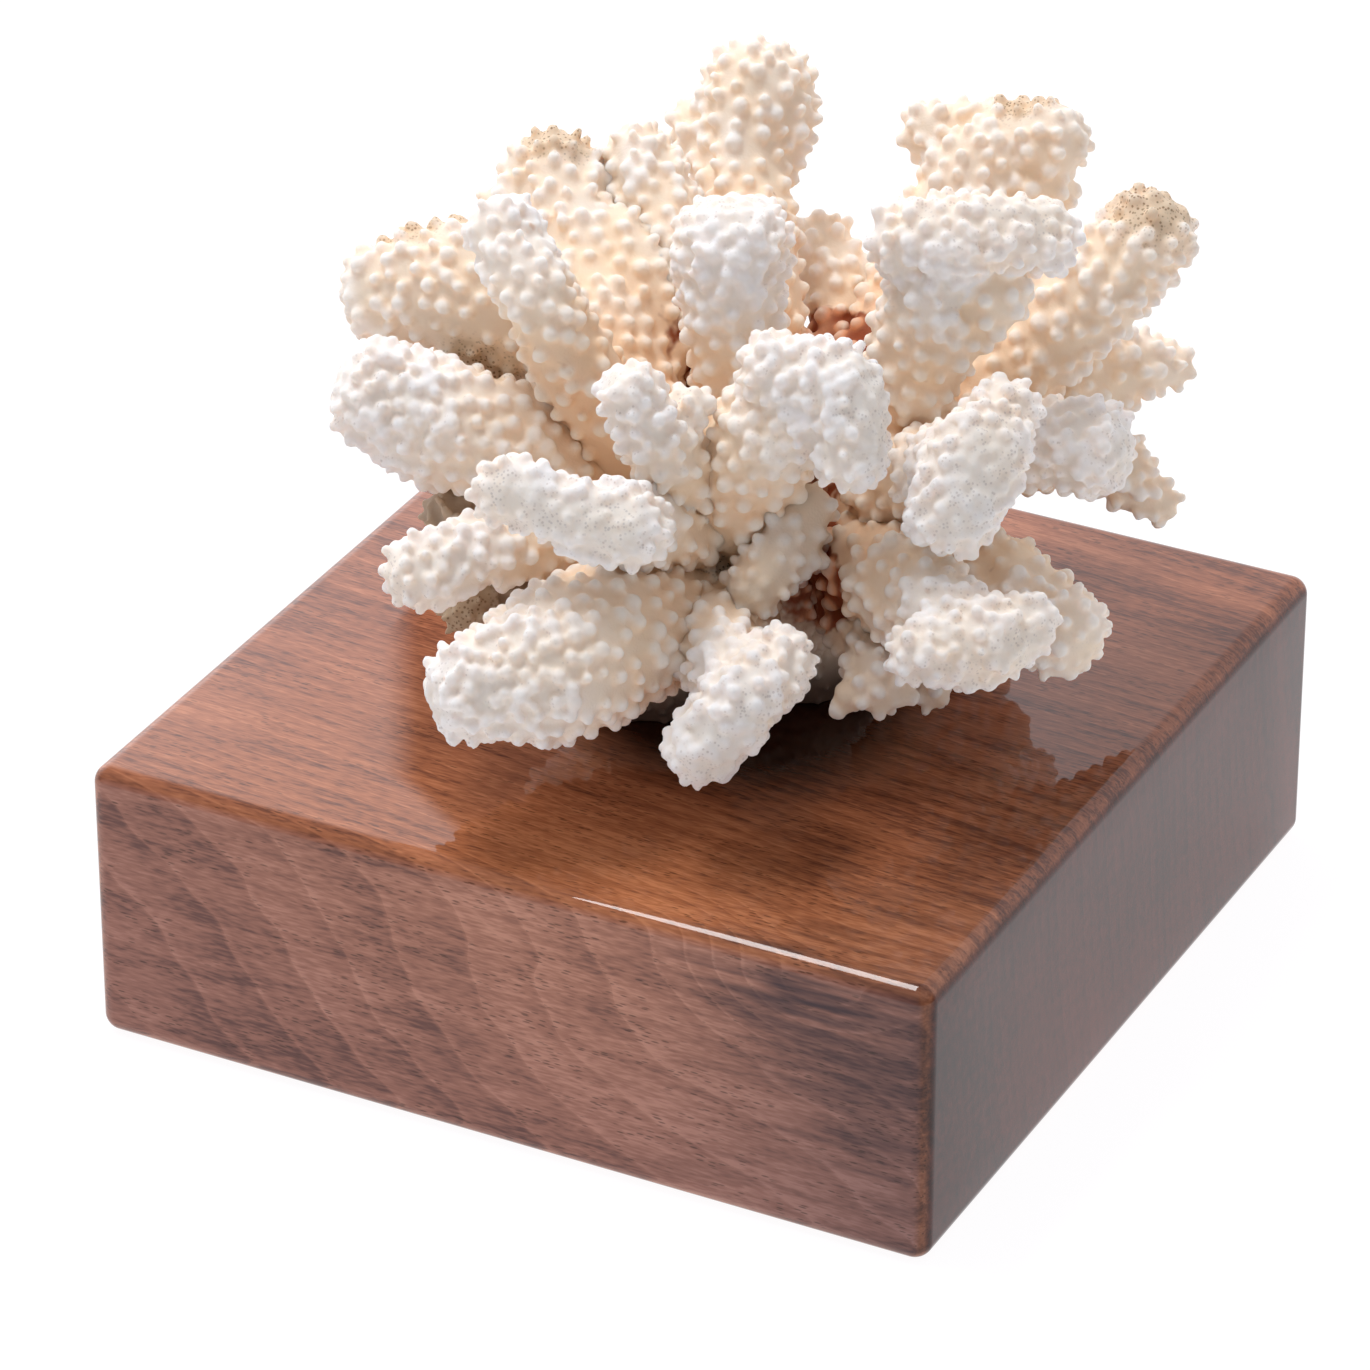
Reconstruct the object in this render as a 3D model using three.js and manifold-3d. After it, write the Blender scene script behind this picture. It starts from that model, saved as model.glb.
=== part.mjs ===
// A white brown-stem coral colony standing on a lacquered walnut block.
// Units are millimetres, +Z is up, and the origin is the centre of the block's underside.
// The colony is split at its main forks: each branch is a solid of its own, cut to fit the ones before it.
import * as THREE from "three";
import { mergeVertices } from "three/addons/utils/BufferGeometryUtils.js";
import Module from "manifold-3d";

const wasm = await Module();
wasm.setup();

// Driving dimensions of the block: 6 x 6 x 2 inches with an eighth-inch round on its edges.
const BLOCK_SIDE = 152.4;
const BLOCK_HEIGHT = 50.8;
const BLOCK_EDGE = 3.2;
const BLOCK_EDGE_STEPS = 3;

// Driving dimensions of the coral's surface.
const FOOT_GAP = 0.3; // clear space between the coral's cut foot and the block
const SWELL = 0.6; // how far a branch's skin is moved out to cut room for it in the others
const SLIVER_SIZE = 3.2; // edges shorter than this, left by a cut, are drawn together
const SLIVER_DEPTH = 0.16; // how far the surface may move where they are
const LUMP_HEIGHT = 1.3; // how far a lump stands out of the branch
const LUMP_DIP = 0.3; // how far the skin sinks between lumps
const LUMP_LEAN = 0.6; // share of a lump's height that it leans towards the branch's tip
const FACE_SIZE = 6.9; // side of the triangles that make up a branch's skin
const STEM_FACE_SIZE = 9; // the same for the smoother stem in the middle
const FACE_DROP = 0.8; // flat faces pass this far inside the round branch they stand for
const SMOOTH_SHARE = 0.25; // share of a limb, from where it is buried, that has no lumps yet
const CAP_ANGLES = [0.55, 1.08]; // angles of the rings that round off a branch's end, in radians

// Each limb is a list of stations [x, y, z, reach] from where it is buried to its free end.
// Reach is the distance from the limb's middle to the tops of its lumps.
const COLONY = {
  root_stem: [
    [[2, 7, 46, 16], [4, 4, 58, 15.5], [9, -3, 74, 16], [6, 6, 86, 13], [3, 12, 93, 10]],
    [[4, 0, 62, 12], [-6, -11, 55, 11], [-7, -12, 46, 11]],
    [[6, 3, 62, 12], [13, 7, 55, 12], [14, 7, 46, 12]],
    [[9, -3, 74, 13], [22, 5, 81, 10]],
    [[9, -2, 76, 13], [-6, -7, 80, 10]],
    [[5, 7, 84, 12], [10, 25, 92, 9]],
    [[5, 7, 84, 12], [-11, 9, 93, 9.5]],
    [[8, 5, 88, 10], [16, 10, 101, 8]],
  ],
  crusted_stem: [
    [[4, -17, 68, 8.5], [-13, -26, 72, 8], [-26, -32, 79, 6], [-33, -29, 86, 5]],
    [[-22, -31, 76, 6], [-25, -40, 76, 4.5]],
  ],
  tall_back: [
    [[4, 10, 90, 9], [-1, 18, 104, 8.5], [-7, 27, 115, 8.5], [-14, 39, 124, 8.5], [-16, 47, 133, 10]],
    [[-12, 35, 118, 6], [-25, 44, 127, 6]],
    [[-12, 38, 120, 6], [-10, 46, 131, 5.5]],
  ],
  left_tower: [
    [[3, -1, 82, 9], [-7, -7, 94, 10], [-18, -5, 107, 10], [-28, 7, 116, 9.5], [-39, 17, 125, 9]],
    [[-26, 3, 112, 7], [-44, 11, 121, 6]],
    [[-12, 2, 106, 7], [-17, 5, 113, 8], [-23, 10, 120, 7]],
  ],
  slim_back: [[[-2, 8, 95, 8], [-10, 11, 111, 7], [-18, 18, 121, 7.5], [-27, 25, 128, 7]]],
  left_blade: [[[-8, -14, 98, 8.5], [-15, -22, 116, 7.5], [-21, -24, 128, 7], [-28, -20, 134, 6.5]]],
  left_broad: [
    [[-5, -5, 90, 8], [-19, -6, 104, 9], [-33, -8, 113, 11.5], [-43, -11, 117, 12], [-52, -15, 116, 9]],
  ],
  left_arm: [
    [[-1, -6, 84, 8], [-13, -16, 92, 8], [-24, -23, 99, 9.5], [-33, -29, 102, 11], [-43, -33, 107, 9.5]],
  ],
  left_low_finger: [
    [[5, -8, 77, 6.5], [-3, -18, 82, 7], [-12, -32, 87, 7], [-20, -45, 90, 6.5], [-26, -54, 89, 6]],
  ],
  front_left_ridge: [
    [[8, -7, 81, 7.5], [6, -31, 94, 7.5], [4, -47, 103, 6]],
    [[-10, -52, 107, 6], [-1, -51, 105, 6], [9, -48, 103, 7]],
  ],
  front_left_foot: [
    [[11, -8, 74, 8], [7, -23, 76, 10.5], [3, -43, 79, 13], [-2, -57, 79, 12.5], [-9, -65, 78, 9]],
  ],
  front_foot: [
    [[12, -12, 74, 8], [18, -35, 78, 8], [28, -46, 77, 7]],
    [[32, -41, 81, 6], [30, -50, 78, 7], [26, -54, 71, 6.5]],
  ],
  front_blade: [
    [[10, -5, 79, 9], [13, -17, 94, 10.5], [18, -19, 107, 10], [30, -18, 115, 7.5]],
    [[21, -19, 120, 7], [32, -19, 119, 7.5], [36, -23, 111, 6]],
  ],
  front_small: [
    [[11, -6, 85, 7.5], [8, -24, 100, 7], [6, -33, 111, 6.5], [3, -35, 119, 5.5]],
    [[5, -31, 112, 4.5], [9, -27, 115, 4]],
  ],
  round_head: [[[7, 5, 86, 7.5], [5, 0, 103, 8.5], [4, -2, 118, 8.5], [3, 0, 129, 10]]],
  shade_blade: [
    [[13, -2, 77, 7], [23, -19, 90, 6.5]],
    [[24, -16, 94, 6], [22, -28, 86, 5.5]],
  ],
  behind_head: [[[10, 24, 92, 7], [4, 40, 100, 7], [-4, 47, 107, 7]]],
  back_right: [
    [[12, 22, 91, 7.5], [14, 39, 101, 8.5], [16, 53, 111, 9.5], [19, 61, 121, 9.5]],
    [[9, 63, 125, 6], [19, 65, 125, 7.5], [29, 65, 127, 7.5]],
    [[19, 58, 113, 8], [28, 63, 119, 7.5]],
  ],
  right_ridge: [
    [[21, 5, 86, 8], [30, 9, 105, 8.5], [34, 9, 121, 8.5], [38, 11, 133, 7]],
    [[31, 8, 134, 7], [41, 11, 136, 7.5], [49, 19, 134, 6.5]],
    [[33, 9, 114, 8], [42, 13, 125, 8]],
  ],
  right_top: [
    [[22, 8, 82, 7.5], [34, 21, 94, 8.5], [43, 32, 107, 9], [51, 37, 117, 9], [58, 42, 126, 8]],
  ],
  right_far: [[[25, 19, 85, 7.5], [38, 33, 93, 7.5], [47, 43, 97, 7.5], [53, 50, 97, 6.5], [58, 55, 96, 4]]],
  right_near: [
    [[21, 3, 83, 7.5], [38, -2, 97, 8.5], [49, -10, 106, 7.5]],
    [[53, -3, 113, 6], [52, -11, 108, 8.5], [51, -17, 102, 7.5]],
  ],
  right_mid: [[[22, 6, 83, 7], [36, 13, 91, 8], [49, 17, 97, 8], [59, 17, 99, 8]]],
  right_low_far: [[[28, 13, 81, 6.5], [44, 32, 87, 6.5], [54, 39, 85, 6.5], [58, 40, 81, 5.5], [62, 41, 78, 4]]],
  right_foot: [
    [[22, 0, 79, 9], [43, -15, 84, 9.5], [57, -24, 84, 7.5]],
    [[52, -31, 83, 5.5], [60, -25, 84, 7.5], [65, -18, 85, 5.5]],
  ],
  right_low: [[[24, 6, 77, 7], [40, 7, 78, 8], [53, 3, 78, 8], [63, -1, 75, 8]]],
  low_centre: [
    [[22, -3, 74, 6], [34, -15, 73, 5], [41, -23, 70, 5.5]],
    [[38, -26, 69, 4], [44, -22, 70, 4]],
  ],
  low_small: [[[26, 0, 71, 5], [41, -7, 68, 5], [46, -12, 65, 4]]],
  rear_left_low: [[[-5, 3, 79, 7.5], [-22, 11, 77, 7.5], [-37, 20, 74, 7.5]]],
  rear_left_high: [
    [[-8, 11, 90, 7.5], [-25, 25, 92, 8], [-39, 35, 94, 8]],
    [[-26, 24, 91, 6], [-42, 24, 99, 6]],
  ],
  rear_top: [[[0, 15, 92, 7.5], [-14, 36, 96, 8], [-24, 52, 100, 7.5]]],
  rear_middle: [[[2, 11, 80, 7.5], [-9, 30, 75, 8.5], [-18, 44, 69, 8]]],
  rear_right_high: [[[9, 20, 86, 7.5], [5, 44, 87, 8], [1, 61, 85, 7]]],
  rear_right: [
    [[12, 12, 80, 7], [16, 38, 77, 8], [21, 54, 75, 8]],
    [[16, 38, 77, 6], [31, 47, 80, 6]],
  ],
  rear_right_low: [[[6, 10, 75, 7], [2, 33, 67, 7.5], [-1, 50, 62, 7]]],
  right_behind: [[[18, 18, 86, 7], [26, 42, 92, 7.5], [31, 58, 96, 7]]],
};

// Colour, roughness and metalness of each finish.
const FINISHES = {
  walnut: { color: 0x7a4a33, roughness: 0.12, metalness: 0 },
  coral: { color: 0xf1e4d0, roughness: 0.62, metalness: 0 },
  stem: { color: 0xb0714f, roughness: 0.7, metalness: 0 },
  crust: { color: 0xa88a6a, roughness: 0.85, metalness: 0 },
};
const STEM_FINISH = { root_stem: "stem", crusted_stem: "crust" };

// A repeatable number from 0 to 1 for a place in the lattice of lumps.
function scatter(row, column, seed) {
  const wave = Math.sin(row * 12.9898 + column * 78.233 + seed * 37.719) * 43758.5453;
  return wave - Math.floor(wave);
}

// The reach at a share of the way along a limb, straight between its stations.
function reachAt(stations, share) {
  const place = share * (stations.length - 1);
  const before = Math.min(Math.floor(place), stations.length - 2);
  return THREE.MathUtils.lerp(stations[before][3], stations[before + 1][3], place - before);
}

// Rings of a limb: middle, direction, two side directions, how wide it is, and how strong its lumps are.
// A limb that starts buried in another has no lumps there.
function ringsAlong(stations, faceSize, isBuried) {
  const spine = new THREE.CatmullRomCurve3(
    stations.map(([x, y, z]) => new THREE.Vector3(x, y, z)),
    false,
    "centripetal",
  );
  const count = Math.max(2, Math.round(spine.getLength() / (faceSize * 0.87)));
  const frames = spine.computeFrenetFrames(count);
  const ringOf = (index, forward, width) => ({
    middle: spine.getPointAt(index / count).addScaledVector(frames.tangents[index], forward),
    ahead: frames.tangents[index],
    sideways: frames.normals[index],
    across: frames.binormals[index],
    width,
    lumpy: isBuried ? THREE.MathUtils.smoothstep(index / count, SMOOTH_SHARE / 2, SMOOTH_SHARE) : 1,
  });
  const firstReach = stations[0][3];
  const lastReach = stations[stations.length - 1][3];
  const rings = [];
  for (const angle of isBuried ? [CAP_ANGLES[0]] : [...CAP_ANGLES].reverse())
    rings.push(ringOf(0, -firstReach * Math.sin(angle), firstReach * Math.cos(angle)));
  for (let index = 0; index <= count; index++)
    rings.push(ringOf(index, 0, reachAt(stations, spine.getUtoTmapping(index / count))));
  for (const angle of CAP_ANGLES)
    rings.push(ringOf(count, lastReach * Math.sin(angle), lastReach * Math.cos(angle)));
  const ends = [
    ringOf(0, -firstReach, 0).middle,
    ringOf(count, lastReach, 0).middle,
  ];
  return { rings, ends };
}

// A limb with a lattice of lumps: one vertex in three stands out, and its six neighbours lie in the dip.
function limbGeometry(stations, seed, faceSize, isBuried) {
  const { rings, ends } = ringsAlong(stations, faceSize, isBuried);
  const reaches = stations.map((station) => station[3]);
  const meanReach = reaches.reduce((sum, reach) => sum + reach, 0) / reaches.length;
  const around = 3 * Math.max(2, Math.round((2 * Math.PI * meanReach) / (3 * faceSize)));
  const points = [];
  rings.forEach((ring, row) => {
    for (let column = 0; column < around; column++) {
      const turn = (2 * Math.PI * (column + row / 2)) / around;
      const outward = new THREE.Vector3()
        .addScaledVector(ring.sideways, Math.cos(turn))
        .addScaledVector(ring.across, Math.sin(turn));
      const isLump = (column + 2 * row) % 3 === 0;
      const size = 0.75 + 0.5 * scatter(row, column, seed);
      const lumpDrop = isLump ? LUMP_HEIGHT * (1 - size) : LUMP_HEIGHT + LUMP_DIP * size;
      const drop = THREE.MathUtils.lerp(LUMP_HEIGHT / 2, lumpDrop, ring.lumpy);
      const lean = isLump ? LUMP_HEIGHT * LUMP_LEAN * ring.lumpy : 0;
      points.push(
        ring.middle
          .clone()
          .addScaledVector(outward, Math.max(0.8, ring.width + FACE_DROP - drop))
          .addScaledVector(ring.ahead, lean),
      );
    }
  });
  const buried = points.push(ends[0]) - 1;
  const tip = points.push(ends[1]) - 1;
  const faces = [];
  for (let row = 0; row + 1 < rings.length; row++)
    for (let column = 0; column < around; column++) {
      const next = (column + 1) % around;
      const low = row * around;
      const high = low + around;
      faces.push(low + column, low + next, high + column);
      faces.push(low + next, high + next, high + column);
    }
  const lastRow = (rings.length - 1) * around;
  for (let column = 0; column < around; column++) {
    const next = (column + 1) % around;
    faces.push(buried, next, column);
    faces.push(tip, lastRow + column, lastRow + next);
  }
  const geometry = new THREE.BufferGeometry().setFromPoints(points);
  geometry.setIndex(faces);
  return geometry;
}

// The same skin moved out along its normals, which leaves the clear space where it is cut away.
function swollen(geometry, distance) {
  const moved = geometry.clone();
  moved.computeVertexNormals();
  const { position, normal } = moved.attributes;
  for (let index = 0; index < position.count; index++)
    position.setXYZ(
      index,
      position.getX(index) + distance * normal.getX(index),
      position.getY(index) + distance * normal.getY(index),
      position.getZ(index) + distance * normal.getZ(index),
    );
  return moved;
}

// A closed three.js geometry as a manifold-3d solid.
function solidOf(geometry) {
  const bare = geometry.clone();
  bare.deleteAttribute("normal");
  bare.deleteAttribute("uv");
  const merged = mergeVertices(bare, 1e-4);
  return new wasm.Manifold(
    new wasm.Mesh({
      numProp: 3,
      vertProperties: merged.attributes.position.array,
      triVerts: new Uint32Array(merged.index.array),
    }),
  );
}

// The union of a branch's limbs, each with its skin moved out by a distance.
function branchSolid(limbs, seed, faceSize, distance) {
  return limbs
    .map((stations, index) => limbGeometry(stations, seed + index, faceSize, index === 0))
    .map((limb) => solidOf(swollen(limb, distance)))
    .reduce((joined, limb) => joined.add(limb));
}

// The biggest of the separate pieces that a cut can leave.
function biggestPiece(solid) {
  return solid
    .decompose()
    .reduce((best, piece) => (piece.volume() > best.volume() ? piece : best));
}

// Whether moving one corner of a face keeps the face's side up, and passes close to where the corner was.
function movesWell(face, corner, from, to, points) {
  const plane = new THREE.Plane().setFromCoplanarPoints(...face.map((vertex) => points[vertex]));
  const moved = face.map((vertex) => (vertex === corner ? to : points[vertex]));
  const next = new THREE.Plane().setFromCoplanarPoints(...moved);
  return next.normal.dot(plane.normal) > 0.3 && Math.abs(next.distanceToPoint(from)) < SLIVER_DEPTH;
}

// A cut leaves slivers along its edge. This draws one end of each short edge onto the other,
// where the surface stays closed and its shape keeps within a small depth.
function withoutSlivers(geometry) {
  const points = [];
  const { position } = geometry.attributes;
  for (let index = 0; index < position.count; index++)
    points.push(new THREE.Vector3().fromBufferAttribute(position, index));
  const faces = [];
  const facesAt = points.map(() => new Set());
  for (let index = 0; index < geometry.index.count; index += 3) {
    const face = [0, 1, 2].map((corner) => geometry.index.getX(index + corner));
    faces.push(face);
    for (const vertex of face) facesAt[vertex].add(face);
  }
  const neighbours = (vertex) => new Set([...facesAt[vertex]].flat().filter((other) => other !== vertex));
  const canDraw = (gone, kept) => {
    const keptNeighbours = neighbours(kept);
    const shared = [...neighbours(gone)].filter((vertex) => keptNeighbours.has(vertex));
    const moving = [...facesAt[gone]].filter((face) => !face.includes(kept));
    return shared.length === 2 && moving.every((face) => movesWell(face, gone, points[gone], points[kept], points));
  };
  const draw = (gone, kept) => {
    for (const face of facesAt[gone]) {
      if (face.includes(kept)) {
        for (const vertex of face) if (vertex !== gone) facesAt[vertex].delete(face);
        face.length = 0;
      } else {
        face[face.indexOf(gone)] = kept;
        facesAt[kept].add(face);
      }
    }
    facesAt[gone].clear();
  };
  let drawn = true;
  while (drawn) {
    drawn = false;
    const shortEdges = faces
      .flatMap((face) => face.map((vertex, corner) => [vertex, face[(corner + 1) % 3]]))
      .filter(([a, b]) => a < b && points[a].distanceTo(points[b]) < SLIVER_SIZE)
      .sort(([a, b], [c, d]) => points[a].distanceTo(points[b]) - points[c].distanceTo(points[d]));
    for (const [a, b] of shortEdges) {
      if (!facesAt[a].size || !facesAt[b].size || !neighbours(a).has(b)) continue;
      const pair = [[a, b], [b, a]].find(([gone, kept]) => canDraw(gone, kept));
      if (!pair) continue;
      draw(...pair);
      drawn = true;
    }
  }
  const cleaned = new THREE.BufferGeometry().setFromPoints(points);
  cleaned.setIndex(faces.flat());
  cleaned.deleteAttribute("normal");
  return mergeVertices(cleaned, 1e-4);
}

function geometryOf(solid) {
  const made = solid.getMesh();
  const geometry = new THREE.BufferGeometry();
  geometry.setAttribute("position", new THREE.BufferAttribute(made.vertProperties, 3));
  geometry.setIndex(new THREE.BufferAttribute(made.triVerts, 1));
  return geometry;
}

function meshOf(geometry, name, finish) {
  geometry.computeVertexNormals();
  const mesh = new THREE.Mesh(geometry, new THREE.MeshStandardMaterial(FINISHES[finish]));
  mesh.name = name;
  return mesh;
}

// The walnut block: a rounded square, drawn up and rounded over at its top and bottom edges.
function walnutBlock() {
  const corner = 0.02; // a point would give the bevel a sharp corner, so each corner is a tiny arc
  const half = BLOCK_SIDE / 2 - BLOCK_EDGE - corner;
  const outline = new THREE.Shape();
  outline.absarc(half, half, corner, 0, Math.PI / 2);
  outline.absarc(-half, half, corner, Math.PI / 2, Math.PI);
  outline.absarc(-half, -half, corner, Math.PI, 1.5 * Math.PI);
  outline.absarc(half, -half, corner, 1.5 * Math.PI, 2 * Math.PI);
  const geometry = new THREE.ExtrudeGeometry(outline, {
    depth: BLOCK_HEIGHT - 2 * BLOCK_EDGE,
    curveSegments: BLOCK_EDGE_STEPS,
    bevelEnabled: true,
    bevelThickness: BLOCK_EDGE,
    bevelSize: BLOCK_EDGE,
    bevelSegments: BLOCK_EDGE_STEPS,
  });
  geometry.translate(0, 0, BLOCK_EDGE);
  geometry.deleteAttribute("normal");
  geometry.deleteAttribute("uv");
  return mergeVertices(geometry, 1e-3);
}

// Everything below the coral's cut foot, as one slab to cut away.
function slabUnderCoral() {
  const depth = 60;
  const slab = new THREE.BoxGeometry(2 * BLOCK_SIDE, 2 * BLOCK_SIDE, depth);
  slab.translate(0, 0, BLOCK_HEIGHT + FOOT_GAP - depth / 2);
  return solidOf(slab);
}

const coralOnBlock = new THREE.Group();

coralOnBlock.add(meshOf(walnutBlock(), "walnut_block", "walnut"));

let taken = slabUnderCoral();
Object.entries(COLONY).forEach(([name, limbs], index) => {
  const seed = 10 * index;
  const faceSize = name === "root_stem" ? STEM_FACE_SIZE : FACE_SIZE;
  const shape = biggestPiece(branchSolid(limbs, seed, faceSize, 0).subtract(taken));
  coralOnBlock.add(meshOf(withoutSlivers(geometryOf(shape)), name, STEM_FINISH[name] ?? "coral"));
  taken = taken.add(branchSolid(limbs, seed, faceSize, SWELL));
});

export default coralOnBlock;
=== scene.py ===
"""A white branching coral on a glossy walnut block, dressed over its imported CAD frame.

Lengths and places are in millimetres and become metres when a mesh is made. Only the finishes, the lights and
the camera have theirs in metres.
"""

from __future__ import annotations

import logging
import math
from dataclasses import dataclass, field
from enum import Enum

import bmesh
import bpy
import numpy as np
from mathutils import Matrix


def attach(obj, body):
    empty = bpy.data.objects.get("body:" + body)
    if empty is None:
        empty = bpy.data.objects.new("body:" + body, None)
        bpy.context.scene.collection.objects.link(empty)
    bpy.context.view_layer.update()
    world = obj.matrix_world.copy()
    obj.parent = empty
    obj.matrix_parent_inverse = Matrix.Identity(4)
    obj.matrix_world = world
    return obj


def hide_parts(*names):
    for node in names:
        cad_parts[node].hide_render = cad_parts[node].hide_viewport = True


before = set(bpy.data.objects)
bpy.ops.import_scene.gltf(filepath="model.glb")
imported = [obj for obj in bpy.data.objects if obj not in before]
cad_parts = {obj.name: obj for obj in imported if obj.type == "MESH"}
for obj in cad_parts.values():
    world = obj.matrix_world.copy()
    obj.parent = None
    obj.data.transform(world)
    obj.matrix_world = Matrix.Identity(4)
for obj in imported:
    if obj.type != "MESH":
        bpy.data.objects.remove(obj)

LOG = logging.getLogger("coral")
MM = 0.001

Station = tuple[float, float, float, float]
Limb = list[Station]
Colour = tuple[float, float, float]
Vector = tuple[float, float, float]
Spot = tuple[Vector, Vector, float]


class Crown(Enum):
    """How a branch ends: how close its knobs stand there, and how white they are."""

    WHITE = (2.05, 1.0)
    CREAM = (2.6, 0.24)
    SHADED = (2.7, 0.15)

    @property
    def spacing(self) -> float:
        """Distance between knobs at the branch's end."""
        return self.value[0]

    @property
    def whiteness(self) -> float:
        """How far the end turns from cream to white, from 0 to 1."""
        return self.value[1]


class Skin(Enum):
    """What covers a branch: living-white knobs, the bare rust-brown stem, or dead tan crust."""

    KNOBS = "coral"
    STEM = "stem"
    CRUST = "crust"


@dataclass(frozen=True)
class BranchPlan:
    """A branch's limbs and the look of its end.

    The first limb is the shaft, from where it is buried to its free end. The rest are the ridges and
    shoulders of that end, and the flanks only thicken the shaft.
    """

    limbs: list[Limb]
    crown: Crown = Crown.WHITE
    skin: Skin = Skin.KNOBS
    flanks: list[Limb] = field(default_factory=list)


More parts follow.
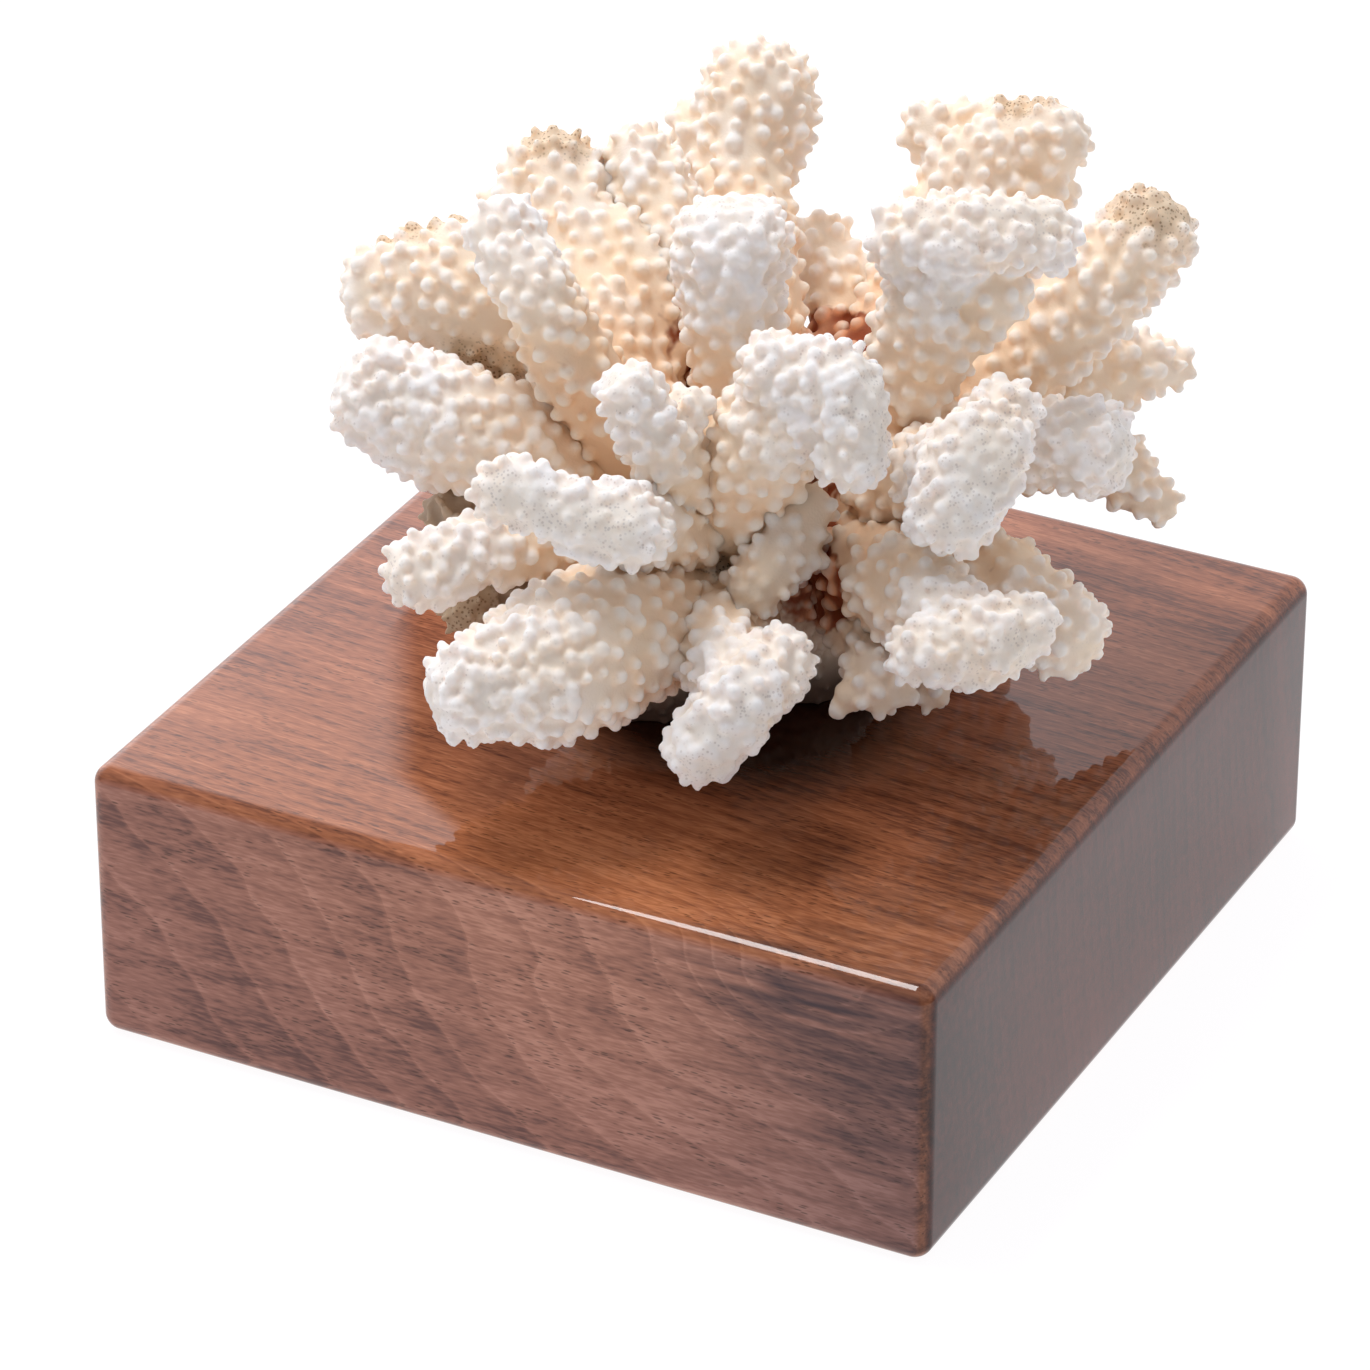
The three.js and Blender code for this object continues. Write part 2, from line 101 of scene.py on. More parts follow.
# Stations are [x, y, z, reach]: reach is the distance from the limb's middle to the tops of its knobs.
COLONY: dict[str, BranchPlan] = {
    "root_stem": BranchPlan(
        [
            [(2, 7, 46, 16), (4, 4, 58, 15.5), (9, -3, 74, 16), (6, 6, 86, 13), (3, 12, 93, 10)],
            [(4, 0, 62, 12), (-6, -11, 55, 11), (-7, -12, 46, 11)],
            [(6, 3, 62, 12), (13, 7, 55, 12), (14, 7, 46, 12)],
            [(9, -3, 74, 13), (22, 5, 81, 10)],
            [(9, -2, 76, 13), (-6, -7, 80, 10)],
            [(5, 7, 84, 12), (10, 25, 92, 9)],
            [(5, 7, 84, 12), (-11, 9, 93, 9.5)],
            [(8, 5, 88, 10), (16, 10, 101, 8)],
        ],
        Crown.SHADED,
        Skin.STEM,
    ),
    "crusted_stem": BranchPlan(
        [
            [(4, -17, 68, 8.5), (-13, -26, 72, 8), (-26, -32, 79, 6), (-33, -29, 86, 5)],
            [(-22, -31, 76, 6), (-25, -40, 76, 4.5)],
        ],
        Crown.SHADED,
        Skin.CRUST,
    ),
    "tall_back": BranchPlan(
        [
            [(4, 10, 90, 9), (-1, 18, 104, 8.5), (-7, 27, 115, 8.5), (-14, 39, 124, 8.5), (-16, 47, 133, 10)],
            [(-12, 35, 118, 6), (-25, 44, 127, 6)],
            [(-12, 38, 120, 6), (-10, 46, 131, 5.5)],
        ],
        Crown.CREAM,
    ),
    "left_tower": BranchPlan(
        [
            [(3, -1, 82, 9), (-7, -7, 94, 10), (-18, -5, 107, 10), (-28, 7, 116, 9.5), (-39, 17, 125, 9)],
            [(-26, 3, 112, 7), (-44, 11, 121, 6)],
        ],
        Crown.CREAM,
        flanks=[[(-12, 2, 106, 7), (-17, 5, 113, 8), (-23, 10, 120, 7)]],
    ),
    "slim_back": BranchPlan(
        [[(-2, 8, 95, 8), (-10, 11, 111, 7), (-18, 18, 121, 7.5), (-27, 25, 128, 7)]],
        Crown.CREAM,
    ),
    "left_blade": BranchPlan(
        [[(-8, -14, 98, 8.5), (-15, -22, 116, 7.5), (-21, -24, 128, 7), (-28, -20, 134, 6.5)]]
    ),
    "left_broad": BranchPlan(
        [[(-5, -5, 90, 8), (-19, -6, 104, 9), (-33, -8, 113, 11.5), (-43, -11, 117, 12), (-52, -15, 116, 9)]],
        Crown.CREAM,
    ),
    "left_arm": BranchPlan(
        [[(-1, -6, 84, 8), (-13, -16, 92, 8), (-24, -23, 99, 9.5), (-33, -29, 102, 11), (-43, -33, 107, 9.5)]]
    ),
    "left_low_finger": BranchPlan(
        [[(5, -8, 77, 6.5), (-3, -18, 82, 7), (-12, -32, 87, 7), (-20, -45, 90, 6.5), (-26, -54, 89, 6)]]
    ),
    "front_left_ridge": BranchPlan(
        [
            [(8, -7, 81, 7.5), (6, -31, 94, 7.5), (4, -47, 103, 6)],
            [(-10, -52, 107, 6), (-1, -51, 105, 6), (9, -48, 103, 7)],
        ]
    ),
    "front_left_foot": BranchPlan(
        [[(11, -8, 74, 8), (7, -23, 76, 10.5), (3, -43, 79, 13), (-2, -57, 79, 12.5), (-9, -65, 78, 9)]]
    ),
    "front_foot": BranchPlan(
        [
            [(12, -12, 74, 8), (18, -35, 78, 8), (28, -46, 77, 7)],
            [(32, -41, 81, 6), (30, -50, 78, 7), (26, -54, 71, 6.5)],
        ]
    ),
    "front_blade": BranchPlan(
        [
            [(10, -5, 79, 9), (13, -17, 94, 10.5), (18, -19, 107, 10), (30, -18, 115, 7.5)],
            [(21, -19, 120, 7), (32, -19, 119, 7.5), (36, -23, 111, 6)],
        ]
    ),
    "front_small": BranchPlan(
        [
            [(11, -6, 85, 7.5), (8, -24, 100, 7), (6, -33, 111, 6.5), (3, -35, 119, 5.5)],
            [(5, -31, 112, 4.5), (9, -27, 115, 4)],
        ]
    ),
    "round_head": BranchPlan([[(7, 5, 86, 7.5), (5, 0, 103, 8.5), (4, -2, 118, 8.5), (3, 0, 129, 10)]]),
    "shade_blade": BranchPlan(
        [
            [(13, -2, 77, 7), (23, -19, 90, 6.5)],
            [(24, -16, 94, 6), (22, -28, 86, 5.5)],
        ],
        Crown.SHADED,
    ),
    "behind_head": BranchPlan([[(10, 24, 92, 7), (4, 40, 100, 7), (-4, 47, 107, 7)]], Crown.CREAM),
    "back_right": BranchPlan(
        [
            [(12, 22, 91, 7.5), (14, 39, 101, 8.5), (16, 53, 111, 9.5), (19, 61, 121, 9.5)],
            [(9, 63, 125, 6), (19, 65, 125, 7.5), (29, 65, 127, 7.5)],
        ],
        Crown.CREAM,
        flanks=[[(19, 58, 113, 8), (28, 63, 119, 7.5)]],
    ),
    "right_ridge": BranchPlan(
        [
            [(21, 5, 86, 8), (30, 9, 105, 8.5), (34, 9, 121, 8.5), (38, 11, 133, 7)],
            [(31, 8, 134, 7), (41, 11, 136, 7.5), (49, 19, 134, 6.5)],
        ],
        flanks=[[(33, 9, 114, 8), (42, 13, 125, 8)]],
    ),
    "right_top": BranchPlan(
        [[(22, 8, 82, 7.5), (34, 21, 94, 8.5), (43, 32, 107, 9), (51, 37, 117, 9), (58, 42, 126, 8)]],
        Crown.CREAM,
    ),
    "right_far": BranchPlan(
        [[(25, 19, 85, 7.5), (38, 33, 93, 7.5), (47, 43, 97, 7.5), (53, 50, 97, 6.5), (58, 55, 96, 4)]],
        Crown.CREAM,
    ),
    "right_near": BranchPlan(
        [
            [(21, 3, 83, 7.5), (38, -2, 97, 8.5), (49, -10, 106, 7.5)],
            [(53, -3, 113, 6), (52, -11, 108, 8.5), (51, -17, 102, 7.5)],
        ]
    ),
    "right_mid": BranchPlan([[(22, 6, 83, 7), (36, 13, 91, 8), (49, 17, 97, 8), (59, 17, 99, 8)]]),
    "right_low_far": BranchPlan(
        [[(28, 13, 81, 6.5), (44, 32, 87, 6.5), (54, 39, 85, 6.5), (58, 40, 81, 5.5), (62, 41, 78, 4)]],
        Crown.CREAM,
    ),
    "right_foot": BranchPlan(
        [
            [(22, 0, 79, 9), (43, -15, 84, 9.5), (57, -24, 84, 7.5)],
            [(52, -31, 83, 5.5), (60, -25, 84, 7.5), (65, -18, 85, 5.5)],
        ]
    ),
    "right_low": BranchPlan([[(24, 6, 77, 7), (40, 7, 78, 8), (53, 3, 78, 8), (63, -1, 75, 8)]], Crown.CREAM),
    "low_centre": BranchPlan(
        [
            [(22, -3, 74, 6), (34, -15, 73, 5), (41, -23, 70, 5.5)],
            [(38, -26, 69, 4), (44, -22, 70, 4)],
        ],
        Crown.SHADED,
    ),
    "low_small": BranchPlan([[(26, 0, 71, 5), (41, -7, 68, 5), (46, -12, 65, 4)]], Crown.SHADED),
    "rear_left_low": BranchPlan([[(-5, 3, 79, 7.5), (-22, 11, 77, 7.5), (-37, 20, 74, 7.5)]]),
    "rear_left_high": BranchPlan(
        [
            [(-8, 11, 90, 7.5), (-25, 25, 92, 8), (-39, 35, 94, 8)],
            [(-26, 24, 91, 6), (-42, 24, 99, 6)],
        ]
    ),
    "rear_top": BranchPlan([[(0, 15, 92, 7.5), (-14, 36, 96, 8), (-24, 52, 100, 7.5)]]),
    "rear_middle": BranchPlan([[(2, 11, 80, 7.5), (-9, 30, 75, 8.5), (-18, 44, 69, 8)]]),
    "rear_right_high": BranchPlan([[(9, 20, 86, 7.5), (5, 44, 87, 8), (1, 61, 85, 7)]]),
    "rear_right": BranchPlan(
        [
            [(12, 12, 80, 7), (16, 38, 77, 8), (21, 54, 75, 8)],
            [(16, 38, 77, 6), (31, 47, 80, 6)],
        ]
    ),
    "rear_right_low": BranchPlan([[(6, 10, 75, 7), (2, 33, 67, 7.5), (-1, 50, 62, 7)]]),
    "right_behind": BranchPlan([[(18, 18, 86, 7), (26, 42, 92, 7.5), (31, 58, 96, 7)]]),
}

# The gap that the stem's sole keeps to the lacquer.
FOOT_GAP = 0.05

# A limb of the end that starts farther from the shaft than this is a ridge of its own.
RIDGE_OFFSET = 6.0

# Round stained places, [x, y, z, reach]: rust in the crevices round the stem, tan where the coral died back.
RUST_PLACES: list[Station] = [
    (-12, 8, 104, 11),
    (7, 32, 95, 11),
    (26, 5, 90, 12),
    (22, -3, 79, 13),
    (12, -22, 76, 8),
    (4, 8, 88, 13),
    (18, 10, 94, 9),
    (8, -4, 77, 12),
    (11, 25, 100, 11),
    (26, -12, 80, 9),
]
TAN_PLACES: list[Station] = [
    (-35, -16, 105, 9),
    (-23, -45, 78, 8),
    (12, -22, 84, 5),
    (58, 43, 131, 9),
    (-50, -7, 124, 9),
    (-39, 19, 132, 7),
    (24, 68, 133, 7),
]


def smooth_step(low: float, high: float, value: np.ndarray) -> np.ndarray:
    """Rises from 0 at low to 1 at high along 3t^2 - 2t^3.

    Args:
        low: Value where the rise starts.
        high: Value where it ends; it may be the smaller one.
        value: Values to look up.

    Returns:
        The eased share for each value.
    """
    share = np.clip((value - low) / (high - low), 0.0, 1.0)
    return share * share * (3.0 - 2.0 * share)


def unit(vectors: np.ndarray) -> np.ndarray:
    """The vectors at length 1, along the last axis."""
    return vectors / np.maximum(np.linalg.norm(vectors, axis=-1, keepdims=True), 1e-9)


def circle(axis: np.ndarray, side: np.ndarray, turns: int) -> np.ndarray:
    """Directions all round each axis: cos(a) * side + sin(a) * (axis x side), at evenly spaced angles a.

    Args:
        axis: Unit axes, one row each.
        side: A unit vector square to each axis.
        turns: Number of angles.

    Returns:
        Unit vectors, for each axis and each angle.
    """
    angle = np.linspace(0.0, 2 * math.pi, turns, endpoint=False)[None, :, None]
    return side[:, None] * np.cos(angle) + np.cross(axis, side)[:, None] * np.sin(angle)


def ring_quads(rings: int, sides: int) -> np.ndarray:
    """Quads between the neighbouring rings of a tube.

    Args:
        rings: Number of rings.
        sides: Number of points in a ring.

    Returns:
        Vertex numbers, four to a row.
    """
    row, column = np.meshgrid(np.arange(rings - 1) * sides, np.arange(sides), indexing="ij")
    following = (column + 1) % sides
    corners = [row + column, row + following, row + sides + following, row + sides + column]
    return np.stack(corners, axis=-1).reshape(-1, 4)


def swell(points: np.ndarray, seed: float) -> np.ndarray:
    """A slow uneven swelling from -1 to 1: the mean of three sines of the place, each turned another way.

    Args:
        points: Places in millimetres, with x, y and z along the last axis.
        seed: Shifts the waves, so that branches differ.

    Returns:
        One number for each place.
    """
    x, y, z = points[..., 0], points[..., 1], points[..., 2]
    first = np.sin(0.46 * x + 0.21 * y + 0.33 * z + seed)
    second = np.sin(-0.27 * x + 0.52 * y - 0.24 * z + 2.3 * seed)
    third = np.sin(0.71 * x - 0.38 * y + 0.62 * z + 0.7 * seed)
    return (first + second + third) / 3.0


def mesh_object(name: str, vertices: np.ndarray, faces: np.ndarray | list) -> bpy.types.Object:
    """Makes a mesh object from points in millimetres.

    Args:
        name: Name of the object and its mesh.
        vertices: Points, one row each.
        faces: Vertex numbers of each face.

    Returns:
        The new object, linked to the scene.
    """
    mesh = bpy.data.meshes.new(name)
    mesh.from_pydata((vertices * MM).tolist(), [], faces.tolist() if isinstance(faces, np.ndarray) else faces)
    mesh.update()
    obj = bpy.data.objects.new(name, mesh)
    bpy.context.scene.collection.objects.link(obj)
    return obj


def shade_smooth(mesh: bpy.types.Mesh) -> None:
    """Shades every face smooth."""
    mesh.polygons.foreach_set("use_smooth", np.ones(len(mesh.polygons), dtype=bool))


def per_vertex(mesh: bpy.types.Mesh, name: str) -> np.ndarray:
    """Reads a vector of every vertex, such as co or normal, one row each."""
    values = np.empty(len(mesh.vertices) * 3, dtype=np.float32)
    mesh.vertices.foreach_get(name, values)
    return values.reshape(-1, 3)


def hand_over(piece: bpy.types.Object, material: bpy.types.Material, node: str) -> None:
    """Dresses a finished piece, puts it in the place of its CAD node, and reports it.

    Args:
        piece: The piece.
        material: Its finish.
        node: The CAD node that it stands for.
    """
    piece.data.materials.append(material)
    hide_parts(node)
    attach(piece, "root")
    LOG.info("%s: %d faces", piece.name, len(piece.data.polygons))


@dataclass
class Spine:
    """A limb's middle line as close samples, with the reach and the share of the length at each."""

    points: np.ndarray
    reach: np.ndarray
    share: np.ndarray
    ahead: np.ndarray

    @classmethod
    def through(cls, limb: Limb, step: float = 1.0) -> Spine:
        """Draws a smooth curve through a limb's stations.

        Between two stations it is a cubic, whose slope at a station is that of the line through its
        neighbours.

        Args:
            limb: Stations from buried to free end.
            step: Distance between samples.

        Returns:
            The sampled spine.
        """
        stations = np.array(limb, dtype=float)
        knots = np.concatenate([[0.0], np.cumsum(np.linalg.norm(np.diff(stations[:, :3], axis=0), axis=1))])
        slopes = np.gradient(stations, knots, axis=0)
        along = np.linspace(0.0, knots[-1], max(6, round(knots[-1] / step)))
        before = np.clip(np.searchsorted(knots, along, side="right") - 1, 0, len(knots) - 2)
        span = (knots[before + 1] - knots[before])[:, None]
        t = (along - knots[before])[:, None] / span
        curve = (
            (2 * t**3 - 3 * t**2 + 1) * stations[before]
            + (t**3 - 2 * t**2 + t) * span * slopes[before]
            + (3 * t**2 - 2 * t**3) * stations[before + 1]
            + (t**3 - t**2) * span * slopes[before + 1]
        )
        points = curve[:, :3]
        return cls(points, curve[:, 3], along / knots[-1], unit(np.gradient(points, axis=0)))

    def over_skin(self, places: np.ndarray, depth: float) -> np.ndarray:
        """Height of each place over the skin at each sample, and less than 0 inside.

        It is the distance to the sample, less the sample's reach, plus the depth of the skin.

        Args:
            places: Places in millimetres, one row each.
            depth: How far the skin lies under the tops of the knobs.

        Returns:
            Heights, for each place and each sample.
        """
        return np.linalg.norm(places[:, None] - self.points[None], axis=2) - (self.reach - depth)


@dataclass(frozen=True)
class KnobSizes:
    """Sizes of the round knobs that cover the skin, in millimetres.

    The skin lies a depth under the tops of the knobs, and less on the stem and the crust, where knobs are
    smaller and closer by the stem's scale. The outline is (radius, height) from a knob's buried foot to its
    top, as shares of its own radius and height.
    """

    radius: float = 1.28
    height: float = 1.5
    depth: float = 1.25
    stem_depth: float = 0.6
    base_spacing: float = 3.8
    shaft_spacing: float = 3.0
    stem_scale: float = 0.62
    lean: float = 0.6
    buried: float = 1.2
    spread: float = 0.16
    stem_height: float = 0.8
    crust_height: tuple[float, float] = (0.2, 1.5)
    turns: int = 8
    outline: tuple[tuple[float, float], ...] = (
        (1.06, 0.0),
        (1.06, 0.55),
        (1.0, 0.78),
        (0.8, 0.95),
        (0.45, 1.04),
    )

    def shaft(self, share: np.ndarray) -> np.ndarray:
        """Spacing on the shaft: wide near the stem, and closer from half way."""
        return self.base_spacing + (self.shaft_spacing - self.base_spacing) * smooth_step(0.15, 0.5, share)


@dataclass
class LimbSkin:
    """The skin between the knobs: rings round a spine, closed by blunt ends, as one grid of points."""

    spine: Spine
    depth: float
    seed: float
    sides: int = 28
    cap_rings: int = 7
    least_radius: float = 1.2
    unevenness: float = 0.8
    grid: np.ndarray = field(init=False)
    ring_share: np.ndarray = field(init=False)
    ring_ahead: np.ndarray = field(init=False)

    def __post_init__(self) -> None:
        """Works out the grid.

        A ring at share s is spine(s) + r(s) * (cos(a) * side + sin(a) * across), where r is the reach less
        the knobs' depth. Past an end the rings follow a blunt oval, forward r * sin(b)^0.9 and wide
        r * cos(b)^0.7. A slow swelling then moves each point in or out.
        """
        spine = self.spine
        radius = np.maximum(spine.reach - self.depth, self.least_radius)
        bend = np.linspace(0.0, math.pi / 2, self.cap_rings + 1)[1:]
        forward = np.sin(bend) ** 0.9
        wide = np.maximum(np.cos(bend), 0.0) ** 0.7
        wide[-1] = 0.03
        start = spine.points[0] - forward[::-1, None] * radius[0] * spine.ahead[0]
        end = spine.points[-1] + forward[:, None] * radius[-1] * spine.ahead[-1]
        middles = np.concatenate([start, spine.points, end])
        widths = np.concatenate([wide[::-1] * radius[0], radius, wide * radius[-1]])
        caps = (self.cap_rings, self.cap_rings)
        self.ring_ahead = np.pad(spine.ahead, (caps, (0, 0)), mode="edge")
        self.ring_share = np.pad(spine.share, caps, mode="edge")
        reference = np.eye(3)[np.argmin(np.abs(spine.ahead.mean(axis=0)))]
        side = unit(np.cross(self.ring_ahead, reference))
        outward = circle(self.ring_ahead, side, self.sides)
        plain = middles[:, None] + widths[:, None, None] * outward
        uneven = self.unevenness * swell(plain, self.seed) * np.minimum(1.0, widths / 3.0)[:, None]
        self.grid = plain + uneven[..., None] * outward

    def faces(self, first: int) -> list[list[int]]:
        """Quads between neighbouring rings and one face over each end.

        Args:
            first: Number of the grid's first vertex in the whole mesh.

        Returns:
            Vertex numbers of each face.
        """
        rings, sides = self.grid.shape[:2]
        around = np.arange(sides) + first
        ends = [around[::-1].tolist(), ((rings - 1) * sides + around).tolist()]
        return (ring_quads(rings, sides) + first).tolist() + ends

    def scatter(self, count: int, rng: np.random.Generator) -> tuple[np.ndarray, ...]:
        """Drops points evenly over the skin.

        A grid cell's chance is its area, and a point in it lies between its four corners.

        Args:
            count: Number of points.
            rng: Source of the chances.

        Returns:
            Places, outward normals, directions towards the tip, and shares of the length.
        """
        closed = np.concatenate([self.grid, self.grid[:, :1]], axis=1)
        along = closed[1:, :-1] - closed[:-1, :-1]
        round_it = closed[:-1, 1:] - closed[:-1, :-1]
        cross = np.cross(round_it, along)
        area = np.linalg.norm(cross, axis=-1).ravel()
        cell = rng.choice(area.size, size=count, p=area / area.sum())
        row, column = np.divmod(cell, self.sides)
        u, v = rng.random((2, count, 1))
        near = closed[row, column] * (1 - v) + closed[row, column + 1] * v
        far = closed[row + 1, column] * (1 - v) + closed[row + 1, column + 1] * v
        return (
            near * (1 - u) + far * u,
            unit(cross.reshape(-1, 3)[cell]),
            self.ring_ahead[row],
            self.ring_share[row],
        )


class NodeKit:
    """Short ways to add and join shader nodes in one material."""

    def __init__(self, tree: bpy.types.NodeTree, output: str) -> None:
        """Empties a node tree and gives it an output node of the named kind."""
        self.tree = tree
        tree.nodes.clear()
        self.output = tree.nodes.new(output)

    @classmethod
    def material(cls, name: str) -> tuple[bpy.types.Material, NodeKit]:
        """Starts a material with an empty node tree.

        Args:
            name: The material's name.
        """
        material = bpy.data.materials.new(name)
        material.use_nodes = True
        return material, cls(material.node_tree, "ShaderNodeOutputMaterial")

    def add(self, kind: str) -> bpy.types.Node:
        """Adds a node of a kind."""
        return self.tree.nodes.new(kind)

    def link(self, source: bpy.types.NodeSocket, target: bpy.types.NodeSocket) -> None:
        """Joins an output to an input."""
        self.tree.links.new(source, target)

    def feed(self, value: object, target: bpy.types.NodeSocket) -> None:
        """Joins a socket, or sets a number or colour.

        Args:
            value: A socket, a number or an (r, g, b) colour.
            target: The input to feed.
        """
        if isinstance(value, bpy.types.NodeSocket):
            self.link(value, target)
        elif isinstance(value, tuple) and len(target.default_value) == 4:
            target.default_value = (*value, 1.0)
        else:
            target.default_value = value

    def attribute(self, name: str) -> bpy.types.NodeSocket:
        """The value of a mesh attribute."""
        node = self.add("ShaderNodeAttribute")
        node.attribute_name = name
        return node.outputs["Fac"]

    def math(self, operation: str, first: object, second: object = 0.0) -> bpy.types.NodeSocket:
        """The result of a sum on two numbers."""
        node = self.add("ShaderNodeMath")
        node.operation = operation
        self.feed(first, node.inputs[0])
        self.feed(second, node.inputs[1])
        return node.outputs[0]

    def times(self, first: object, second: object) -> bpy.types.NodeSocket:
        """The product of two numbers."""
        return self.math("MULTIPLY", first, second)

    def plus(self, first: object, second: object) -> bpy.types.NodeSocket:
        """The sum of two numbers."""
        return self.math("ADD", first, second)

    def rest(self, share: object) -> bpy.types.NodeSocket:
        """What a share leaves of 1."""
        return self.math("SUBTRACT", 1.0, share)

    def dot(self, vector: bpy.types.NodeSocket, along: Vector) -> bpy.types.NodeSocket:
        """How far a vector goes along a fixed one."""
        node = self.add("ShaderNodeVectorMath")
        node.operation = "DOT_PRODUCT"
        self.link(vector, node.inputs[0])
        node.inputs[1].default_value = along
        return node.outputs["Value"]

    def noise(self, place: bpy.types.NodeSocket, scale: float, detail: float) -> bpy.types.NodeSocket:
        """Cloudy noise from 0 to 1.

        Args:
            place: Where to look it up.
            scale: Clouds in a metre.
            detail: Number of finer layers.

        Returns:
            The noise socket.
        """
        node = self.add("ShaderNodeTexNoise")
        node.inputs["Scale"].default_value = scale
        node.inputs["Detail"].default_value = detail
        self.link(place, node.inputs["Vector"])
        return node.outputs["Fac"]

    def stretch(self, place: bpy.types.NodeSocket, scale: Vector) -> bpy.types.NodeSocket:
        """The place with each axis scaled, which draws a pattern out along the smaller ones."""
        node = self.add("ShaderNodeMapping")
        node.inputs["Scale"].default_value = scale
        self.link(place, node.inputs["Vector"])
        return node.outputs["Vector"]

    def split(self, vector: bpy.types.NodeSocket) -> tuple[bpy.types.NodeSocket, ...]:
        """The x, y and z of a vector."""
        node = self.add("ShaderNodeSeparateXYZ")
        self.link(vector, node.inputs[0])
        return tuple(node.outputs)

    def spot(
        self, place: bpy.types.NodeSocket, middle: Vector, scale: Vector, reach: float
    ) -> bpy.types.NodeSocket:
        """A soft oval mask: 1 at its middle and 0 from its reach on.

        Args:
            place: Where to look it up.
            middle: Its middle, in metres.
            scale: How much each axis is squeezed.
            reach: Its reach, in metres.

        Returns:
            The mask socket.
        """
        away = self.add("ShaderNodeVectorMath")
        away.operation = "SUBTRACT"
        self.link(place, away.inputs[0])
        away.inputs[1].default_value = middle
        length = self.add("ShaderNodeVectorMath")
        length.operation = "LENGTH"
        self.link(self.stretch(away.outputs[0], scale), length.inputs[0])
        return self.ramp(length.outputs["Value"], reach, 0.0)

    def ramp(self, value: object, low: float, high: float) -> bpy.types.NodeSocket:
        """A smooth rise from 0 at low to 1 at high."""
        node = self.add("ShaderNodeMapRange")
        node.interpolation_type = "SMOOTHSTEP"
        self.feed(value, node.inputs["Value"])
        rising = high > low
        node.inputs["From Min"].default_value = low if rising else high
        node.inputs["From Max"].default_value = high if rising else low
        node.inputs["To Min"].default_value = 0.0 if rising else 1.0
        node.inputs["To Max"].default_value = 1.0 if rising else 0.0
        return node.outputs["Result"]

    def broken(self, mask: object, patchy: object, level: float, soft: float) -> bpy.types.NodeSocket:
        """A mask whose edge is broken up by noise.

        Args:
            mask: Smooth mask from 0 to 1.
            patchy: Noise from 0 to 1.
            level: Where the sum of mask and noise turns on.
            soft: Half width of the turn.

        Returns:
            The broken mask.
        """
        total = self.plus(mask, self.times(self.math("SUBTRACT", patchy, 0.5), 1.6))
        return self.ramp(total, level - soft, level + soft)

    def mix(self, share: object, first: object, second: object, way: str = "MIX") -> bpy.types.NodeSocket:
        """The first colour joined by a share with the second, in one of the Mix node's ways."""
        node = self.add("ShaderNodeMix")
        node.data_type = "RGBA"
        node.blend_type = way
        self.feed(share, node.inputs["Factor"])
        self.feed(first, node.inputs[6])
        self.feed(second, node.inputs[7])
        return node.outputs[2]

    def tint(self, share: object, colour: object, tone: Colour) -> bpy.types.NodeSocket:
        """A colour multiplied by a tone, by a share."""
        return self.mix(share, colour, tone, "MULTIPLY")

    def principled(self, colour: object, roughness: object, specular: float) -> bpy.types.Node:
        """The shader, joined to the output.

        Args:
            colour: Base colour.
            roughness: Roughness, a number or a socket.
            specular: Specular level.

        Returns:
            The shader node.
        """
        shader = self.add("ShaderNodeBsdfPrincipled")
        self.feed(colour, shader.inputs["Base Color"])
        self.feed(roughness, shader.inputs["Roughness"])
        shader.inputs["Specular IOR Level"].default_value = specular
        self.link(shader.outputs[0], self.output.inputs["Surface"])
        return shader

    def bump(self, shader: bpy.types.Node, height: object, distance: float, strength: float) -> None:
        """Gives the shader fine relief."""
        node = self.add("ShaderNodeBump")
        node.inputs["Distance"].default_value = distance
        node.inputs["Strength"].default_value = strength
        self.feed(height, node.inputs["Height"])
        self.link(node.outputs[0], shader.inputs["Normal"])


